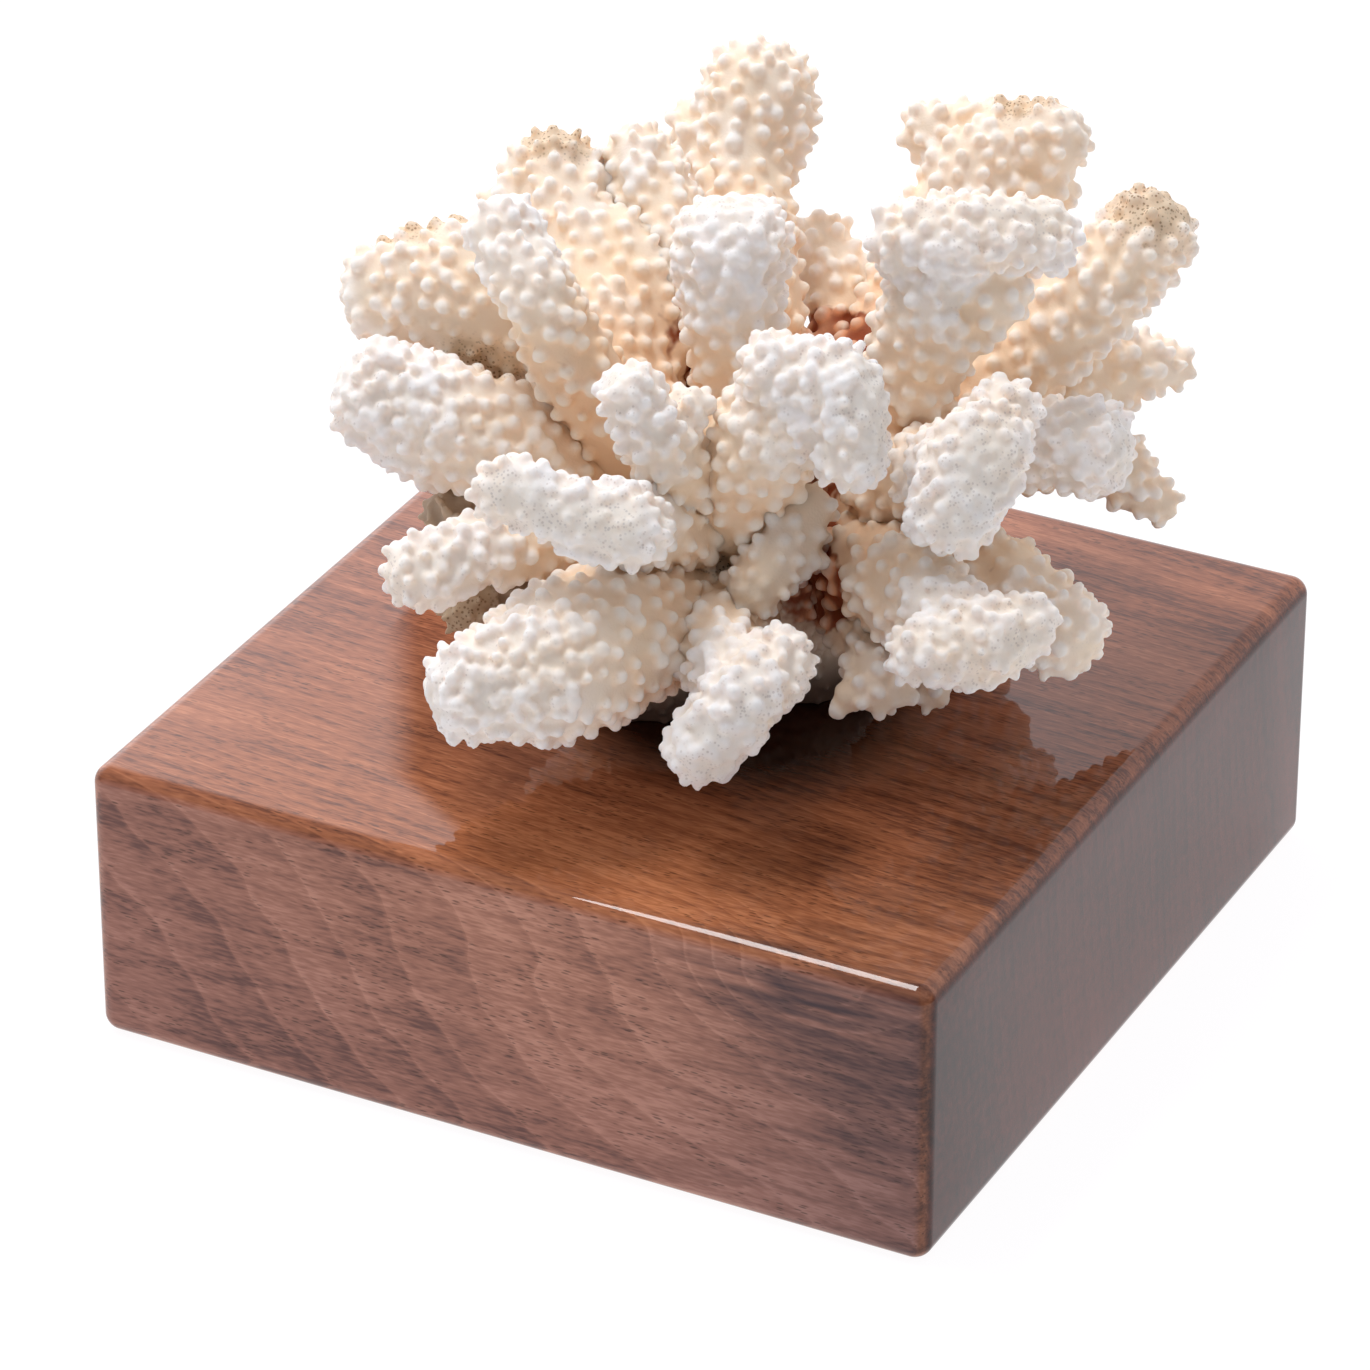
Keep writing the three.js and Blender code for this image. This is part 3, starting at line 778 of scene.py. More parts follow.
@dataclass(frozen=True)
class CoralFinish:
    """Coral skeleton: cream between the knobs, whiter on them and at the ends, with rust, tan and pits."""

    name: str
    hollow: Colour = (0.90, 0.73, 0.56)
    knob: Colour = (0.92, 0.86, 0.80)
    inner_hollow: Colour = (0.84, 0.57, 0.37)
    inner_knob: Colour = (0.88, 0.75, 0.62)
    end_hollow: Colour = (0.86, 0.80, 0.74)
    end_knob: Colour = (0.90, 0.88, 0.88)
    rust: Colour = (0.62, 0.20, 0.06)
    deep_rust: Colour = (0.27, 0.06, 0.02)
    tan: Colour = (0.66, 0.50, 0.34)
    pit: Colour = (0.50, 0.44, 0.42)
    tan_pit: Colour = (0.24, 0.14, 0.07)
    warm: Colour = (0.93, 0.74, 0.52)
    warm_share: float = 0.22
    tan_share: float = 0.75
    pit_share: float = 0.5
    tan_pit_share: float = 0.8
    # Tone of the painted shade, with some dirt, on the stem's foot, the low inner branches and shaded
    # branches.
    shade_and_dirt_tone: Colour = (0.16, 0.10, 0.08)
    glow: float = 0.6
    glow_colours: Colour = (1.0, 0.6, 0.36)
    glow_depth: float = 0.003
    pit_spacing: float = 0.72
    grain_depth: float = 0.00005

    def build(self) -> bpy.types.Material:
        """Makes the material.

        Colour = hollow to knob by the lift attribute, both turning to their end colours by crown and warmed
        in broad patches. Over it come rust and tan where their attributes pass a broken-up edge, dark pits at
        the middles of small cells, and painted shade, with some dirt, low round the foot and on shaded
        branches.

        Returns:
            The material.
        """
        material, kit = NodeKit.material(self.name)
        lift, inner = kit.attribute("lift"), kit.attribute("inner")
        place = kit.add("ShaderNodeTexCoord").outputs["Object"]
        patchy = kit.noise(place, 260.0, 2.0)
        hollow = kit.mix(inner, self.hollow, self.inner_hollow)
        shaft = kit.mix(lift, hollow, kit.mix(inner, self.knob, self.inner_knob))
        end = kit.mix(lift, self.end_hollow, self.end_knob)
        colour = kit.mix(kit.attribute("crown"), shaft, end)
        broad = kit.noise(place, 60.0, 1.0)
        colour = kit.mix(kit.times(kit.ramp(broad, 0.42, 0.68), self.warm_share), colour, self.warm)
        rust = kit.broken(kit.attribute("rust"), patchy, 0.5, 0.16)
        rust = kit.times(rust, kit.rest(kit.times(lift, 0.55)))
        colour = kit.mix(rust, colour, kit.mix(kit.ramp(lift, 0.05, 0.5), self.deep_rust, self.rust))
        died = kit.attribute("tan")
        tan = kit.times(kit.broken(died, patchy, 0.5, 0.2), self.tan_share)
        colour = kit.mix(tan, colour, self.tan)
        cells = kit.add("ShaderNodeTexVoronoi")
        cells.inputs["Scale"].default_value = 1000.0 / self.pit_spacing
        cells.inputs["Randomness"].default_value = 0.85
        kit.link(place, cells.inputs["Vector"])
        hole = kit.ramp(cells.outputs["Distance"], 0.40, 0.2)
        open_grown = kit.ramp(patchy, 0.4, 0.58)
        holes = kit.times(kit.times(hole, kit.attribute("pitted")), open_grown)
        colour = kit.mix(kit.times(holes, self.pit_share), colour, self.pit)
        colour = kit.mix(kit.times(kit.times(hole, died), self.tan_pit_share), colour, self.tan_pit)
        # Painted shade, with some dirt: darkens the foot, the low inner parts of the branches and shaded
        # branches.
        colour = kit.tint(kit.attribute("shade_and_dirt"), colour, self.shade_and_dirt_tone)
        shader = kit.principled(colour, roughness=0.72, specular=0.2)
        shader.subsurface_method = "BURLEY"
        shader.inputs["Subsurface Weight"].default_value = self.glow
        shader.inputs["Subsurface Radius"].default_value = self.glow_colours
        shader.inputs["Subsurface Scale"].default_value = self.glow_depth
        kit.bump(shader, kit.noise(place, 2600.0, 0.0), self.grain_depth, 0.8)
        return material


@dataclass(frozen=True)
class ShadeAndDirt:
    """Painted shade on the stem's foot, and painted shade with some dirt low on the branches' inner ends.

    The strengths are shares. A pair of heights, or of distances from the stem's middle, is where the
    darkening has faded out and where it is full.
    """

    on_stem: float = 0.9
    stem_heights: tuple[float, float] = (61.0, 52.0)
    on_branch: float = 0.6
    branch_heights: tuple[float, float] = (82.0, 66.0)
    branch_distances: tuple[float, float] = (44.0, 24.0)
    in_shade: float = 0.2
    stem_middle: tuple[float, float] = (6.0, 2.0)

    def on(self, plan: BranchPlan, points: np.ndarray) -> np.ndarray:
        """How dark each place is.

        The darkening fades upwards, and on a branch also away from the stem. Branches that stand in shade are
        darkened a little all over: painted shade, and partly the duller colour of their older growth.

        Args:
            plan: Plan of the branch that the places are on.
            points: Places in millimetres.

        Returns:
            Values from 0 to 1.
        """
        height = points[:, 2]
        # On the stem the darkening is painted shadow on its foot.
        if plan.skin is Skin.STEM:
            return self.on_stem * smooth_step(*self.stem_heights, height)
        away = np.hypot(*(points[:, :2] - self.stem_middle).T)
        near = smooth_step(*self.branch_distances, away)
        low = self.on_branch * near * smooth_step(*self.branch_heights, height)
        return np.maximum(low, self.in_shade if plan.crown is Crown.SHADED else 0.0)


@dataclass
class Branch:
    """One branch: its skin, its knobs, and the marks on them."""

    name: str
    plan: BranchPlan
    knobs: KnobSizes
    seed: int
    spines: list[Spine] = field(init=False)
    skins: list[LimbSkin] = field(init=False)

    def __post_init__(self) -> None:
        """Draws the spines and skins."""
        depth = self.knobs.depth if self.plan.skin is Skin.KNOBS else self.knobs.stem_depth
        self.spines = [Spine.through(limb) for limb in self.plan.limbs + self.plan.flanks]
        self.skins = [
            LimbSkin(spine, depth, self.seed + 0.6 * index) for index, spine in enumerate(self.spines)
        ]

    @property
    def depth(self) -> float:
        """How far the skin lies under the tops of the knobs."""
        return self.skins[0].depth

    @property
    def growth(self) -> np.ndarray:
        """The direction in which the branch's end faces."""
        return self.spines[0].ahead[-1]

    def endness(self, index: int, share: np.ndarray) -> np.ndarray:
        """How much a place on a limb belongs to the branch's end.

        A ridge that starts well off the shaft belongs to the end all along.

        Args:
            index: Number of the limb; the first is the shaft, and the next are its ends.
            share: Shares of the limb's length.

        Returns:
            Values from 0 on the shaft to 1 at the end.
        """
        if index >= len(self.plan.limbs):
            return np.zeros_like(share)
        if index == 0:
            return smooth_step(0.62, 0.92, share)
        start = np.linalg.norm(self.spines[0].points - self.spines[index].points[0], axis=1).min()
        return np.ones_like(share) if start > RIDGE_OFFSET else smooth_step(-0.2, 0.35, share)

    @staticmethod
    def free(place: np.ndarray, own: Spine, others: list[Branch]) -> np.ndarray:
        """Tells which places lie outside every other limb, or no more than half a millimetre inside its skin.

        Args:
            place: Places on a limb's skin.
            own: That limb's spine.
            others: All branches, this one among them.

        Returns:
            True for each place that is free.
        """
        outside = np.ones(len(place), dtype=bool)
        for other in others:
            for spine in other.spines:
                if spine is not own:
                    outside &= spine.over_skin(place, other.depth).min(axis=1) > -0.5
        return outside

    def seeds(self, others: list[Branch]) -> tuple[np.ndarray, ...]:
        """Chooses where the knobs stand.

        Many places are dropped on the skin, about one to a square millimetre. Those inside another limb and
        those on the shaft's buried end go, and of the rest one is kept wherever no kept one is nearer than
        the spacing, which closes up towards the branch's end.

        Args:
            others: All branches, this one among them.

        Returns:
            Places, normals, directions towards the tip, and endness of the knobs.
        """
        rng = np.random.default_rng(1000 + self.seed)
        found: list[list[np.ndarray]] = []
        for index, skin in enumerate(self.skins):
            length = np.linalg.norm(np.diff(skin.spine.points, axis=0), axis=1).sum()
            area = float(length * skin.spine.reach.mean() * 6.3)
            place, normal, ahead, share = skin.scatter(int(area) + 200, rng)
            outside = self.free(place, skin.spine, others)
            if index == 0:
                outside &= share > 0.08
            else:
                ahead = unit(0.45 * ahead + self.growth)
            end = self.endness(index, share)
            shaft = self.knobs.shaft(share)
            spacing = shaft + (self.plan.crown.spacing - shaft) * end
            if self.plan.skin is not Skin.KNOBS:
                spacing = spacing * self.knobs.stem_scale
            found.append([part[outside] for part in (place, normal, ahead, end, spacing)])
        place, normal, ahead, end, spacing = (np.concatenate(parts) for parts in zip(*found))
        order = rng.permutation(len(place))
        spacing = spacing * (0.9 + 0.2 * rng.random(len(place)))
        kept = np.zeros(0, dtype=int)
        for candidate in order:
            gaps = np.linalg.norm(place[kept] - place[candidate], axis=1)
            if not np.any(gaps < spacing[candidate]):
                kept = np.append(kept, candidate)
        return place[kept], normal[kept], ahead[kept], end[kept]

    def knob_mesh(self, others: list[Branch], first: int) -> tuple[np.ndarray, list[list[int]]]:
        """Builds the knobs: each is a round-topped peg that leans towards the branch's tip.

        A peg is the knobs' outline from its buried foot over a dome, turned about its own axis. The axis is
        the skin's normal plus a share of the tip's direction. Knobs facing the way the end grows are lower.

        Args:
            others: All branches, for leaving out knobs inside them.
            first: Number of the first vertex in the whole mesh.

        Returns:
            Vertices and faces.
        """
        place, normal, ahead, end = self.seeds(others)
        rng = np.random.default_rng(2000 + self.seed)
        sizes, count = self.knobs, len(place)
        facing = np.sum(normal * ahead, axis=1)
        edge = np.clip(1.0 - np.abs(facing), 0.0, 1.0)
        height = sizes.height * (0.8 + 0.4 * rng.random(count))
        height *= 1.0 - end * smooth_step(0.55, 0.95, facing) * 0.6
        height *= 1.0 + 0.2 * end * edge
        if self.plan.skin is Skin.STEM:
            height *= sizes.stem_height
        elif self.plan.skin is Skin.CRUST:
            low, high = sizes.crust_height
            height *= low + (high - low) * rng.random(count)
        scale = 1.0 if self.plan.skin is Skin.KNOBS else sizes.stem_scale
        width = scale * sizes.radius * (1.0 + sizes.spread * rng.standard_normal(count).clip(-1.5, 1.5))
        width *= 1.0 - 0.12 * end
        lean = sizes.lean * (0.6 + 0.8 * rng.random(count)) * edge
        axis = unit(normal + lean[:, None] * ahead)
        helper = np.where(np.abs(axis[:, 2:3]) < 0.8, [[0.0, 0.0, 1.0]], [[1.0, 0.0, 0.0]])
        around = circle(axis, unit(np.cross(axis, helper)), sizes.turns)
        outline = np.array(sizes.outline)
        rise = outline[:, 1][None] * (height + sizes.buried)[:, None] - sizes.buried
        ring = outline[:, 0][None] * width[:, None]
        grid = place[:, None, None] + rise[:, :, None, None] * axis[:, None, None]
        grid = grid + ring[:, :, None, None] * around[:, None]
        rings = len(outline)
        offsets = first + rings * sizes.turns * np.arange(count)
        sides = (ring_quads(rings, sizes.turns)[None] + offsets[:, None, None]).reshape(-1, 4)
        turn = np.arange(sizes.turns)
        foot = (turn[::-1][None] + offsets[:, None]).tolist()
        top = ((rings - 1) * sizes.turns + turn[None] + offsets[:, None]).tolist()
        return grid.reshape(-1, 3), sides.tolist() + foot + top

    def marks(self, points: np.ndarray, normals: np.ndarray) -> dict[str, np.ndarray]:
        """Works out the masks that the finish reads.

        lift is the height over the skin as a share of a knob's, crown the whiteness of the end, inner the
        share of the shaft near the stem, and pitted the part of the end that faces the way the branch grows.
        rust and tan fall off with the distance from their places, and the darkening low round the foot and on
        branches in shade is painted shade, with some dirt.

        Args:
            points: Vertices in millimetres.
            normals: Their normals.

        Returns:
            Mask values by name.
        """
        above = np.full(len(points), 1e9)
        crown = np.zeros(len(points))
        inner = np.zeros(len(points))
        for index, spine in enumerate(self.spines):
            gap = spine.over_skin(points, self.depth)
            nearest = gap.argmin(axis=1)
            height = gap[np.arange(len(points)), nearest]
            end = self.endness(index, spine.share[nearest])
            beside = np.maximum(crown, end * smooth_step(1.5, 0.0, height - above))
            crown = np.where(height < above, end, beside)
            if index == 0:
                inner = smooth_step(0.82, 0.25, spine.share[nearest])
            above = np.minimum(above, height)
        white = crown * self.plan.crown.whiteness
        return {
            "lift": smooth_step(-0.1, 1.5, above),
            "crown": white,
            "inner": inner,
            "pitted": white * smooth_step(0.25, 0.75, normals @ self.growth),
            "rust": self.stain(points, RUST_PLACES),
            "tan": self.stain(points, TAN_PLACES),
            # Painted shade, with some dirt, low round the foot and on shaded branches.
            "shade_and_dirt": ShadeAndDirt().on(self.plan, points),
        }

    @staticmethod
    def stain(points: np.ndarray, places: list[Station]) -> np.ndarray:
        """How strongly stained places reach each point: 1 near a middle, 0 past 1.25 times its reach."""
        spots = np.array(places, dtype=float)
        share = np.linalg.norm(points[:, None] - spots[None, :, :3], axis=2) / spots[None, :, 3]
        return smooth_step(1.25, 0.45, share.min(axis=1))

    @staticmethod
    def cut_foot(mesh: bpy.types.Mesh) -> None:
        """Cuts the stem off flat just over the block, and closes the cut.

        Args:
            mesh: The stem's mesh, changed in place.
        """
        cut = bmesh.new()
        cut.from_mesh(mesh)
        everything = cut.verts[:] + cut.edges[:] + cut.faces[:]
        level = (0.0, 0.0, (WalnutBlock.height + FOOT_GAP) * MM)
        made = bmesh.ops.bisect_plane(
            cut, geom=everything, plane_co=level, plane_no=(0, 0, 1), clear_inner=True
        )
        rim = [edge for edge in made["geom_cut"] if isinstance(edge, bmesh.types.BMEdge)]
        soles = bmesh.ops.edgeloop_fill(cut, edges=rim)["faces"]
        bmesh.ops.recalc_face_normals(cut, faces=cut.faces[:])
        for sole in soles:
            sole.smooth = False
        bmesh.ops.triangulate(cut, faces=soles)
        cut.to_mesh(mesh)
        cut.free()

    def build(self, others: list[Branch], voxel: float) -> bpy.types.Object:
        """Joins skin and knobs into one closed, softened surface with its masks.

        Args:
            others: All branches.
            voxel: Side of the cells that the joining works in, in millimetres.

        Returns:
            The finished piece.
        """
        vertices: list[np.ndarray] = []
        faces: list[list[int]] = []
        count = 0
        for skin in self.skins:
            vertices.append(skin.grid.reshape(-1, 3))
            faces += skin.faces(count)
            count += vertices[-1].shape[0]
        knob_vertices, knob_faces = self.knob_mesh(others, count)
        vertices.append(knob_vertices)
        rough = mesh_object(f"{self.name}_rough", np.concatenate(vertices), faces + knob_faces)
        fuse = rough.modifiers.new("fuse", "REMESH")
        fuse.mode = "VOXEL"
        fuse.voxel_size = voxel * MM
        soften = rough.modifiers.new("soften", "SMOOTH")
        soften.factor = 0.5
        soften.iterations = 2
        graph = bpy.context.evaluated_depsgraph_get()
        mesh = bpy.data.meshes.new_from_object(rough.evaluated_get(graph))
        bpy.data.objects.remove(rough)
        shade_smooth(mesh)
        if self.plan.skin is Skin.STEM:
            self.cut_foot(mesh)
        points = per_vertex(mesh, "co").astype(float) / MM
        for name, values in self.marks(points, per_vertex(mesh, "normal")).items():
            mesh.attributes.new(name, "FLOAT", "POINT").data.foreach_set("value", values.astype(np.float32))
        mesh.name = f"{self.name}_knobbly"
        mesh.update()
        piece = bpy.data.objects.new(f"{self.name}_knobbly", mesh)
        bpy.context.scene.collection.objects.link(piece)
        return piece


@dataclass
class Coral:
    """The whole colony, one piece for each branch of the frame."""

    knobs: KnobSizes = KnobSizes()
    voxel: float = 0.52
    quick_voxel: float = 0.62

    @staticmethod
    def finishes() -> dict[Skin, bpy.types.Material]:
        """Makes the three finishes: live white coral, the bare stem, and the dead crust."""
        stem = CoralFinish(
            "rusty stem",
            hollow=(0.74, 0.55, 0.40),
            knob=(0.84, 0.73, 0.62),
            inner_hollow=(0.70, 0.55, 0.43),
            inner_knob=(0.80, 0.70, 0.60),
            glow=0.1,
        )
        crust = CoralFinish(
            "tan crust",
            hollow=(0.36, 0.24, 0.15),
            knob=(0.60, 0.44, 0.29),
            inner_hollow=(0.36, 0.24, 0.15),
            inner_knob=(0.60, 0.44, 0.29),
            glow=0.1,
        )
        return {
            Skin.KNOBS: CoralFinish("white coral").build(),
            Skin.STEM: stem.build(),
            Skin.CRUST: crust.build(),
        }

    def build(self) -> None:
        """Builds every branch over its CAD node and dresses it."""
        finishes = self.finishes()
        branches = [Branch(name, plan, self.knobs, seed) for seed, (name, plan) in enumerate(COLONY.items())]
        voxel = self.voxel
        for branch in branches:
            skin = branch.plan.skin
            hand_over(branch.build(branches, voxel), finishes[skin], branch.name)


@dataclass(frozen=True)
class WalnutFinish:
    """Walnut under thick clear gloss: rings nearly square to the block, with fibres and pores along X.

    A spot is its middle in metres, how much each axis is squeezed, and its reach. There is a dark swirl at
    the front edge, shade beside it, a browner heart in the middle, and painted shadow round the coral's foot.
    """

    light: Colour = (0.57, 0.215, 0.094)
    middle: Colour = (0.40, 0.135, 0.056)
    dark: Colour = (0.16, 0.05, 0.024)
    outer: Colour = (0.80, 0.80, 0.92)
    shaded: Colour = (0.62, 0.66, 0.76)
    knot: Colour = (0.045, 0.018, 0.016)
    end: Colour = (0.30, 0.16, 0.22)
    side: Colour = (1.07, 1.33, 2.05)
    pore: Colour = (0.03, 0.012, 0.007)
    # The painted shadow round the coral's foot: its tone here, and its place in the foot spot below.
    painted_foot_shadow: Colour = (0.12, 0.10, 0.10)
    swirl: Spot = ((0.054, -0.078, 0.046), (0.8, 1.0, 1.5), 0.024)
    shade: Spot = ((0.085, -0.079, 0.022), (1.0, 1.0, 0.6), 0.075)
    heart: Spot = ((0.015, -0.062, 0.050), (0.5, 1.0, 1.0), 0.062)
    foot: Spot = ((0.010, -0.007, 0.0508), (1.0, 1.0, 1.0), 0.044)
    ring_width: float = 2.9
    gloss_roughness: float = 0.015
    gloss_ior: float = 1.4

    def build(self) -> bpy.types.Material:
        """Makes the material.

        The ring number is the place along a direction mostly +Y, bent by slow noise and by the swirl, so
        rings are close lines along the top, steep wide bands on the front, and upright lines on the side. The
        tone is a sum of the ring, clouds, streaks and fine grain, and runs from dark over middle to light.

        Returns:
            The material.
        """
        material, kit = NodeKit.material("lacquered walnut")
        coordinates = kit.add("ShaderNodeTexCoord")
        place = coordinates.outputs["Object"]
        x, y, z = kit.split(place)
        slow = kit.noise(kit.stretch(place, (0.35, 1.0, 0.5)), 22.0, 1.0)
        uneven = kit.noise(kit.stretch(place, (0.3, 1.0, 1.0)), 150.0, 0.0)
        swirl, shade, heart = (kit.spot(place, *spot) for spot in (self.swirl, self.shade, self.heart))
        depth = y
        for part, weight in ((x, 0.16), (z, 0.17), (slow, 0.013), (uneven, 0.0012), (swirl, 0.009)):
            depth = kit.plus(depth, kit.times(part, weight))
        year = kit.math("FRACT", kit.times(depth, 1000.0 / self.ring_width))
        late = kit.times(kit.ramp(year, 0.35, 1.0), kit.ramp(year, 1.0, 0.94))
        early = kit.ramp(year, 0.16, 0.02)
        wave = kit.add("ShaderNodeTexNoise")
        wave.noise_dimensions = "1D"
        wave.inputs["Scale"].default_value = 150.0
        wave.inputs["Detail"].default_value = 2.0
        kit.link(depth, wave.inputs["W"])
        cloud = kit.noise(kit.stretch(place, (0.5, 1.0, 1.0)), 34.0, 2.0)
        grain = kit.noise(kit.stretch(place, (0.16, 1.0, 1.0)), 2300.0, 1.0)
        streak = kit.noise(kit.stretch(place, (0.1, 1.0, 1.0)), 520.0, 2.0)
        tone = kit.times(kit.math("SUBTRACT", early, late), 0.07)
        weights = ((heart, 0.04), (wave.outputs["Fac"], 0.26), (cloud, 0.44), (streak, 0.42), (grain, 0.42))
        for part, weight in weights:
            tone = kit.plus(tone, kit.times(kit.math("SUBTRACT", part, 0.5), weight))
        colour = kit.mix(kit.ramp(tone, -0.02, 0.22), self.middle, self.light)
        colour = kit.mix(kit.ramp(tone, 0.03, -0.24), colour, self.dark)
        smoky = kit.math("MAXIMUM", swirl, kit.times(shade, 0.55))
        smoky = kit.times(smoky, kit.ramp(kit.plus(cloud, streak), 1.22, 0.84))
        colour = kit.mix(kit.times(smoky, 0.9), colour, self.knot)
        colour = kit.tint(kit.rest(heart), colour, self.outer)
        colour = kit.tint(shade, colour, self.shaded)
        across, along, _ = kit.split(coordinates.outputs["Normal"])
        for facing, tint in ((along, self.side), (across, self.end)):
            colour = kit.tint(kit.ramp(kit.math("ABSOLUTE", facing), 0.75, 0.98), colour, tint)
        pores = kit.add("ShaderNodeTexVoronoi")
        pores.inputs["Scale"].default_value = 1900.0
        kit.link(kit.stretch(place, (0.2, 1.0, 1.0)), pores.inputs["Vector"])
        dash = kit.ramp(pores.outputs["Distance"], 0.36, 0.18)
        crowd = kit.plus(kit.noise(kit.stretch(place, (0.25, 1.0, 1.0)), 260.0, 2.0), kit.times(early, 0.12))
        open_pores = kit.times(dash, kit.ramp(crowd, 0.44, 0.62))
        colour = kit.mix(kit.times(open_pores, 0.6), colour, self.pore)
        # Painted shadow: the wood round the coral's foot is darkened as if by the coral's shadow.
        colour = kit.tint(kit.ramp(kit.spot(place, *self.foot), 0.05, 0.6), colour, self.painted_foot_shadow)
        shader = kit.principled(colour, roughness=0.5, specular=0.0)
        shader.inputs["Coat Weight"].default_value = 1.0
        shader.inputs["Coat Roughness"].default_value = self.gloss_roughness
        shader.inputs["Coat IOR"].default_value = self.gloss_ior
        return material


@dataclass
class WalnutBlock:
    """The stand: a square block with rounded edges."""

    side: float = 152.4
    height: float = 50.8
    edge: float = 3.2
    edge_steps: int = 7

    def face_lines(self, half: float) -> np.ndarray:
        """Positions of grid lines across a face, close together over the rounded edges.

        Over an edge a line at angle a stands edge * tan(a) past the flat, so that pushing the points onto the
        round spaces them evenly.

        Args:
            half: Half the face's width.

        Returns:
            Positions from -half to half.
        """
        flat = half - self.edge
        angles = np.linspace(0.0, math.pi / 4, self.edge_steps + 1)
        over = flat + self.edge * np.tan(angles)
        return np.concatenate([-over[::-1], np.linspace(-flat, flat, 9)[1:-1], over])

    def face(self, axis: int, sign: float, half: np.ndarray) -> tuple[np.ndarray, np.ndarray]:
        """One side of the box as a flat grid.

        Args:
            axis: Axis that the side is square to.
            sign: 1 for the far side along that axis, and -1 for the near one.
            half: Half the box's sizes.

        Returns:
            Points, and quads that face outward.
        """
        first, second = (axis + 1) % 3, (axis + 2) % 3
        u, v = np.meshgrid(self.face_lines(half[first]), self.face_lines(half[second]), indexing="ij")
        grid = np.empty((*u.shape, 3))
        grid[..., axis], grid[..., first], grid[..., second] = sign * half[axis], u, v
        rows, columns = u.shape
        row, column = np.meshgrid(np.arange(rows - 1), np.arange(columns - 1), indexing="ij")
        corner = row * columns + column
        quad = np.stack([corner, corner + columns, corner + columns + 1, corner + 1], axis=-1).reshape(-1, 4)
        return grid.reshape(-1, 3), quad if sign > 0 else quad[:, ::-1]

    def build(self) -> None:
        """Builds and dresses the block.

        Each side is a grid on a box of the block's size. Every point is drawn in to the box of the edge's
        middles, and then set one edge radius out from there.
        """
        half = np.array([self.side / 2, self.side / 2, self.height / 2])
        vertices: list[np.ndarray] = []
        faces: list[np.ndarray] = []
        for axis in range(3):
            for sign in (-1.0, 1.0):
                grid, quads = self.face(axis, sign, half)
                faces.append(quads + sum(map(len, vertices)))
                vertices.append(grid)
        points = np.concatenate(vertices)
        inner = np.clip(points, -(half - self.edge), half - self.edge)
        points = inner + self.edge * unit(points - inner)
        points[:, 2] += half[2]
        piece = mesh_object("walnut_block_lacquered", points, np.concatenate(faces))
        joined = bmesh.new()
        joined.from_mesh(piece.data)
        bmesh.ops.remove_doubles(joined, verts=joined.verts, dist=1e-6)
        joined.to_mesh(piece.data)
        joined.free()
        shade_smooth(piece.data)
        hand_over(piece, WalnutFinish().build(), "walnut_block")


@dataclass(frozen=True)
class SoftBox:
    """A rectangular light that faces the coral: its place and sides in metres, and its power in watts."""

    name: str
    place: Vector
    sides: tuple[float, float]
    power: float
    aim: Vector = (0.0, 0.0, 0.08)

    def hang(self) -> None:
        """Adds the light to the scene."""
        lamp = bpy.data.lights.new(self.name, "AREA")
        lamp.shape = "RECTANGLE"
        lamp.size, lamp.size_y = self.sides
        lamp.energy = self.power
        holder = bpy.data.objects.new(self.name, lamp)
        holder.location = self.place
        x, y, z = np.array(self.aim) - np.array(self.place)
        holder.rotation_euler = (math.atan2(math.hypot(x, y), -z), 0.0, math.atan2(x, -y))
        bpy.context.scene.collection.objects.link(holder)


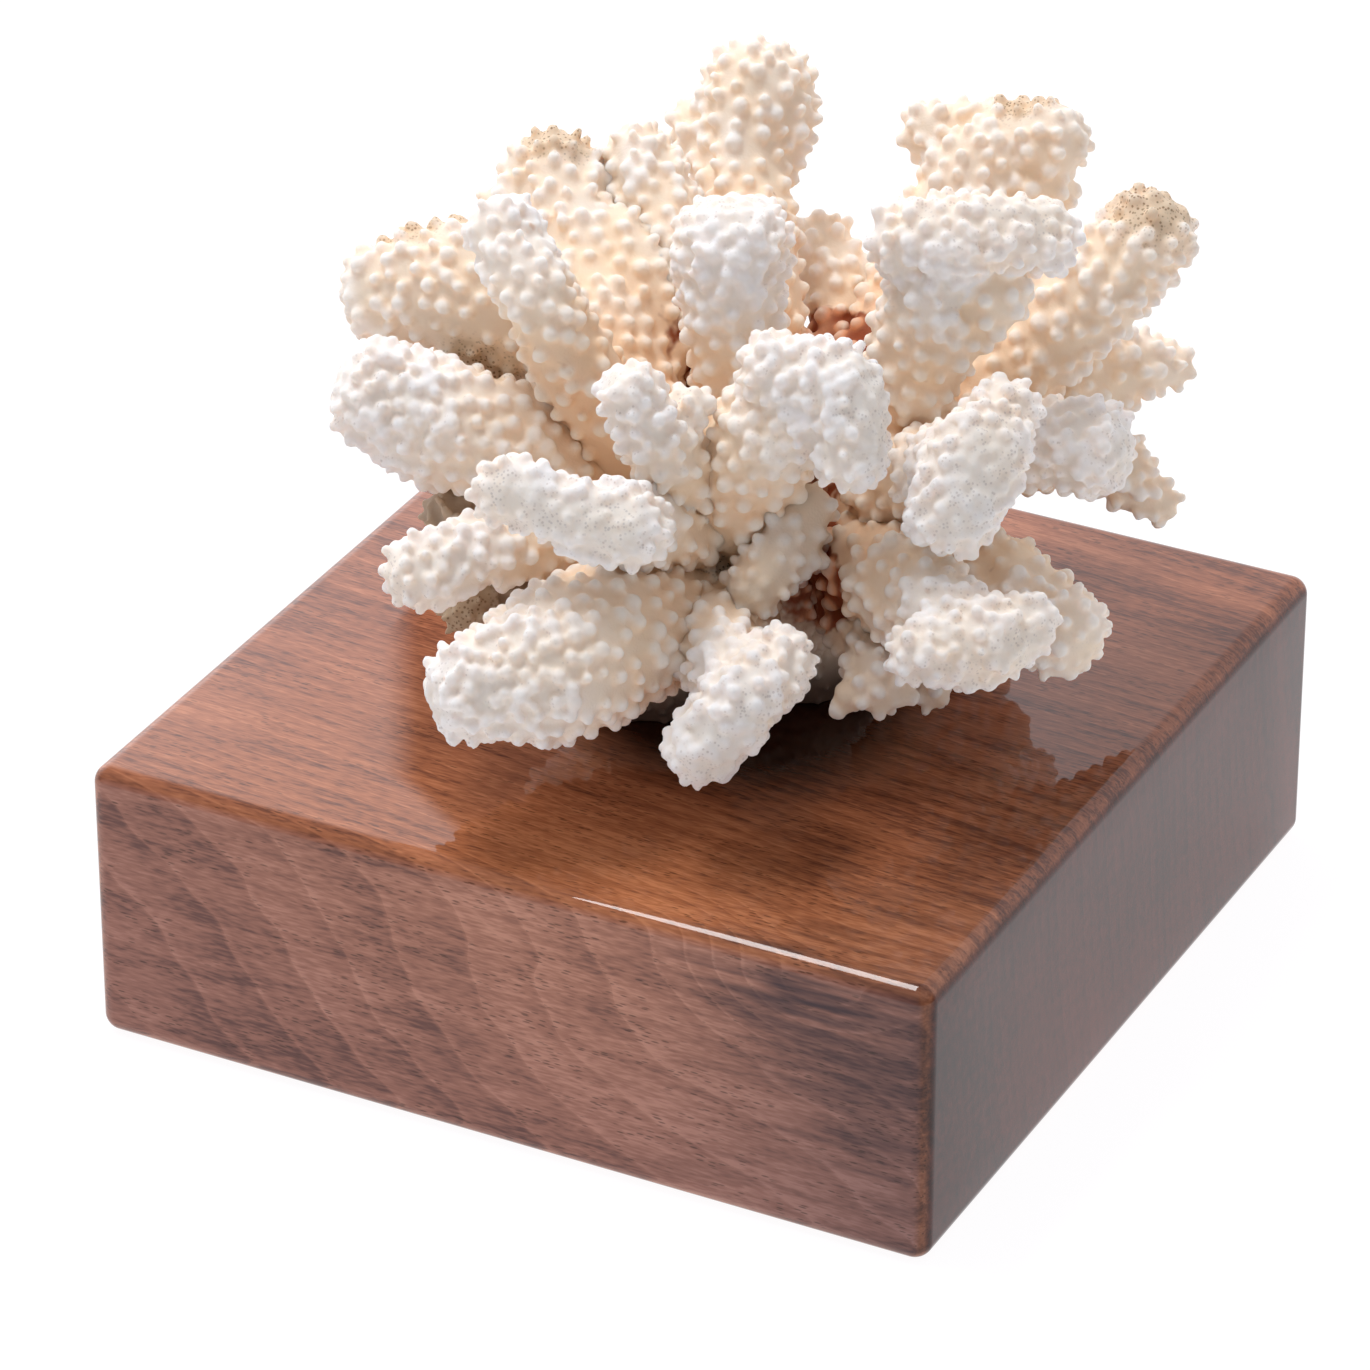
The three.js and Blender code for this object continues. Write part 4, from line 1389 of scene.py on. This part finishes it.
@dataclass
class Studio:
    """White surroundings, a pale floor, soft boxes, and the camera on a sphere round its target.

    The surroundings' strengths are for the horizon, overhead, the backdrop panels and the lobe on the left,
    and the way fields are the directions in which these lie.
    """

    azimuth: float = 27.26
    elevation: float = 29.83
    distance: float = 1.2345
    target: Vector = (-0.02225, 0.03231, 0.02533)
    lens: float = 186.8
    sensor: float = 36.0
    low_surround: float = 0.16
    high_surround: float = 0.62
    backdrop: float = 1.3
    backdrop_way: Vector = (-0.46, 0.89, 0.0)
    left_lobe: float = 1.05
    left_way: Vector = (-0.75, 0.5, 0.43)
    slit_way: Vector = (0.889, 0.458, 0.0)
    slit_depth: float = 0.92
    sky: Colour = (0.97, 0.985, 1.04)
    floor_reach: float = 6000.0
    floor: Colour = (0.12, 0.12, 0.12)
    floor_glow: Colour = (1.0, 0.99, 1.0)
    floor_strength: float = 0.95
    boxes: tuple[SoftBox, ...] = (
        SoftBox("overhead box", (-0.34, 0.02, 1.15), (0.6, 0.3), 9.2),
        SoftBox("left box", (-0.95, -0.75, 1.1), (0.5, 0.5), 11.0),
        SoftBox("back box", (-0.25, 0.85, 1.05), (0.6, 0.3), 3.0),
    )

    def add_camera(self) -> None:
        """Places the camera, looking in at its target."""
        turn, rise = math.radians(self.azimuth), math.radians(self.elevation)
        back = np.array([math.sin(turn) * math.cos(rise), -math.cos(turn) * math.cos(rise), math.sin(rise)])
        camera = bpy.data.objects.new("camera", bpy.data.cameras.new("camera"))
        camera.data.lens = self.lens
        camera.data.sensor_width = self.sensor
        camera.data.clip_start = 0.05
        camera.data.clip_end = 50.0
        camera.location = np.array(self.target) + self.distance * back
        camera.rotation_euler = (math.pi / 2 - rise, 0.0, turn)
        bpy.context.scene.collection.objects.link(camera)
        bpy.context.scene.camera = camera

    def add_world(self) -> None:
        """Adds the surroundings: bright backdrop panels behind the coral, brightest on its left.

        Strength rises from a low level at the horizon to a higher one overhead. Where the direction points
        back and not far up it goes to the backdrop's, and a soft lobe on the left adds to it. Between the
        left panel and the right one is a dark upright slit.
        """
        world = bpy.data.worlds.new("white sweep")
        bpy.context.scene.world = world
        world.use_nodes = True
        kit = NodeKit(world.node_tree, "ShaderNodeOutputWorld")
        towards = kit.add("ShaderNodeTexCoord").outputs["Generated"]
        up = kit.split(towards)[2]
        behind = kit.ramp(kit.dot(towards, self.backdrop_way), -0.1, 0.55)
        panel = kit.times(behind, kit.ramp(up, 0.85, 0.5))
        left = kit.ramp(kit.dot(towards, self.left_way), 0.84, 0.97)
        rising = kit.times(kit.ramp(up, 0.2, 0.85), self.high_surround - self.low_surround)
        strength = kit.times(kit.plus(rising, self.low_surround), kit.rest(panel))
        strength = kit.plus(strength, kit.times(panel, self.backdrop))
        strength = kit.plus(strength, kit.times(left, self.left_lobe))
        sideways = kit.dot(towards, self.slit_way)
        slit = kit.times(kit.ramp(sideways, -0.043, -0.037), kit.ramp(sideways, 0.045, 0.037))
        slit = kit.times(slit, kit.ramp(up, 0.1, 0.2))
        strength = kit.times(strength, kit.rest(kit.times(slit, self.slit_depth)))
        background = kit.add("ShaderNodeBackground")
        kit.feed(self.sky, background.inputs["Color"])
        kit.feed(strength, background.inputs["Strength"])
        kit.link(background.outputs[0], kit.output.inputs["Surface"])

    def add_floor(self) -> None:
        """Adds a plain pale floor at the block's underside, lit a little from within like a light table."""
        corners = self.floor_reach * np.array([[-1, -1, 0], [1, -1, 0], [1, 1, 0], [-1, 1, 0]])
        floor = mesh_object("floor", corners, [[0, 1, 2, 3]])
        material, kit = NodeKit.material("pale floor")
        shader = kit.principled(self.floor, roughness=0.8, specular=0.0)
        kit.feed(self.floor_glow, shader.inputs["Emission Color"])
        shader.inputs["Emission Strength"].default_value = self.floor_strength
        material.cycles.emission_sampling = "NONE"
        floor.data.materials.append(material)

    def build(self) -> None:
        """Sets up camera, light and floor."""
        self.add_camera()
        self.add_world()
        self.add_floor()
        for box in self.boxes:
            box.hang()
        bpy.context.scene.view_settings.view_transform = "Standard"


def main() -> None:
    """Builds the studio, the block and the coral."""
    logging.basicConfig(level=logging.INFO, format="%(name)s: %(message)s")
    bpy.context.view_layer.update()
    Studio().build()
    WalnutBlock().build()
    Coral().build()
    bpy.context.view_layer.update()


if __name__ == "__main__":
    main()
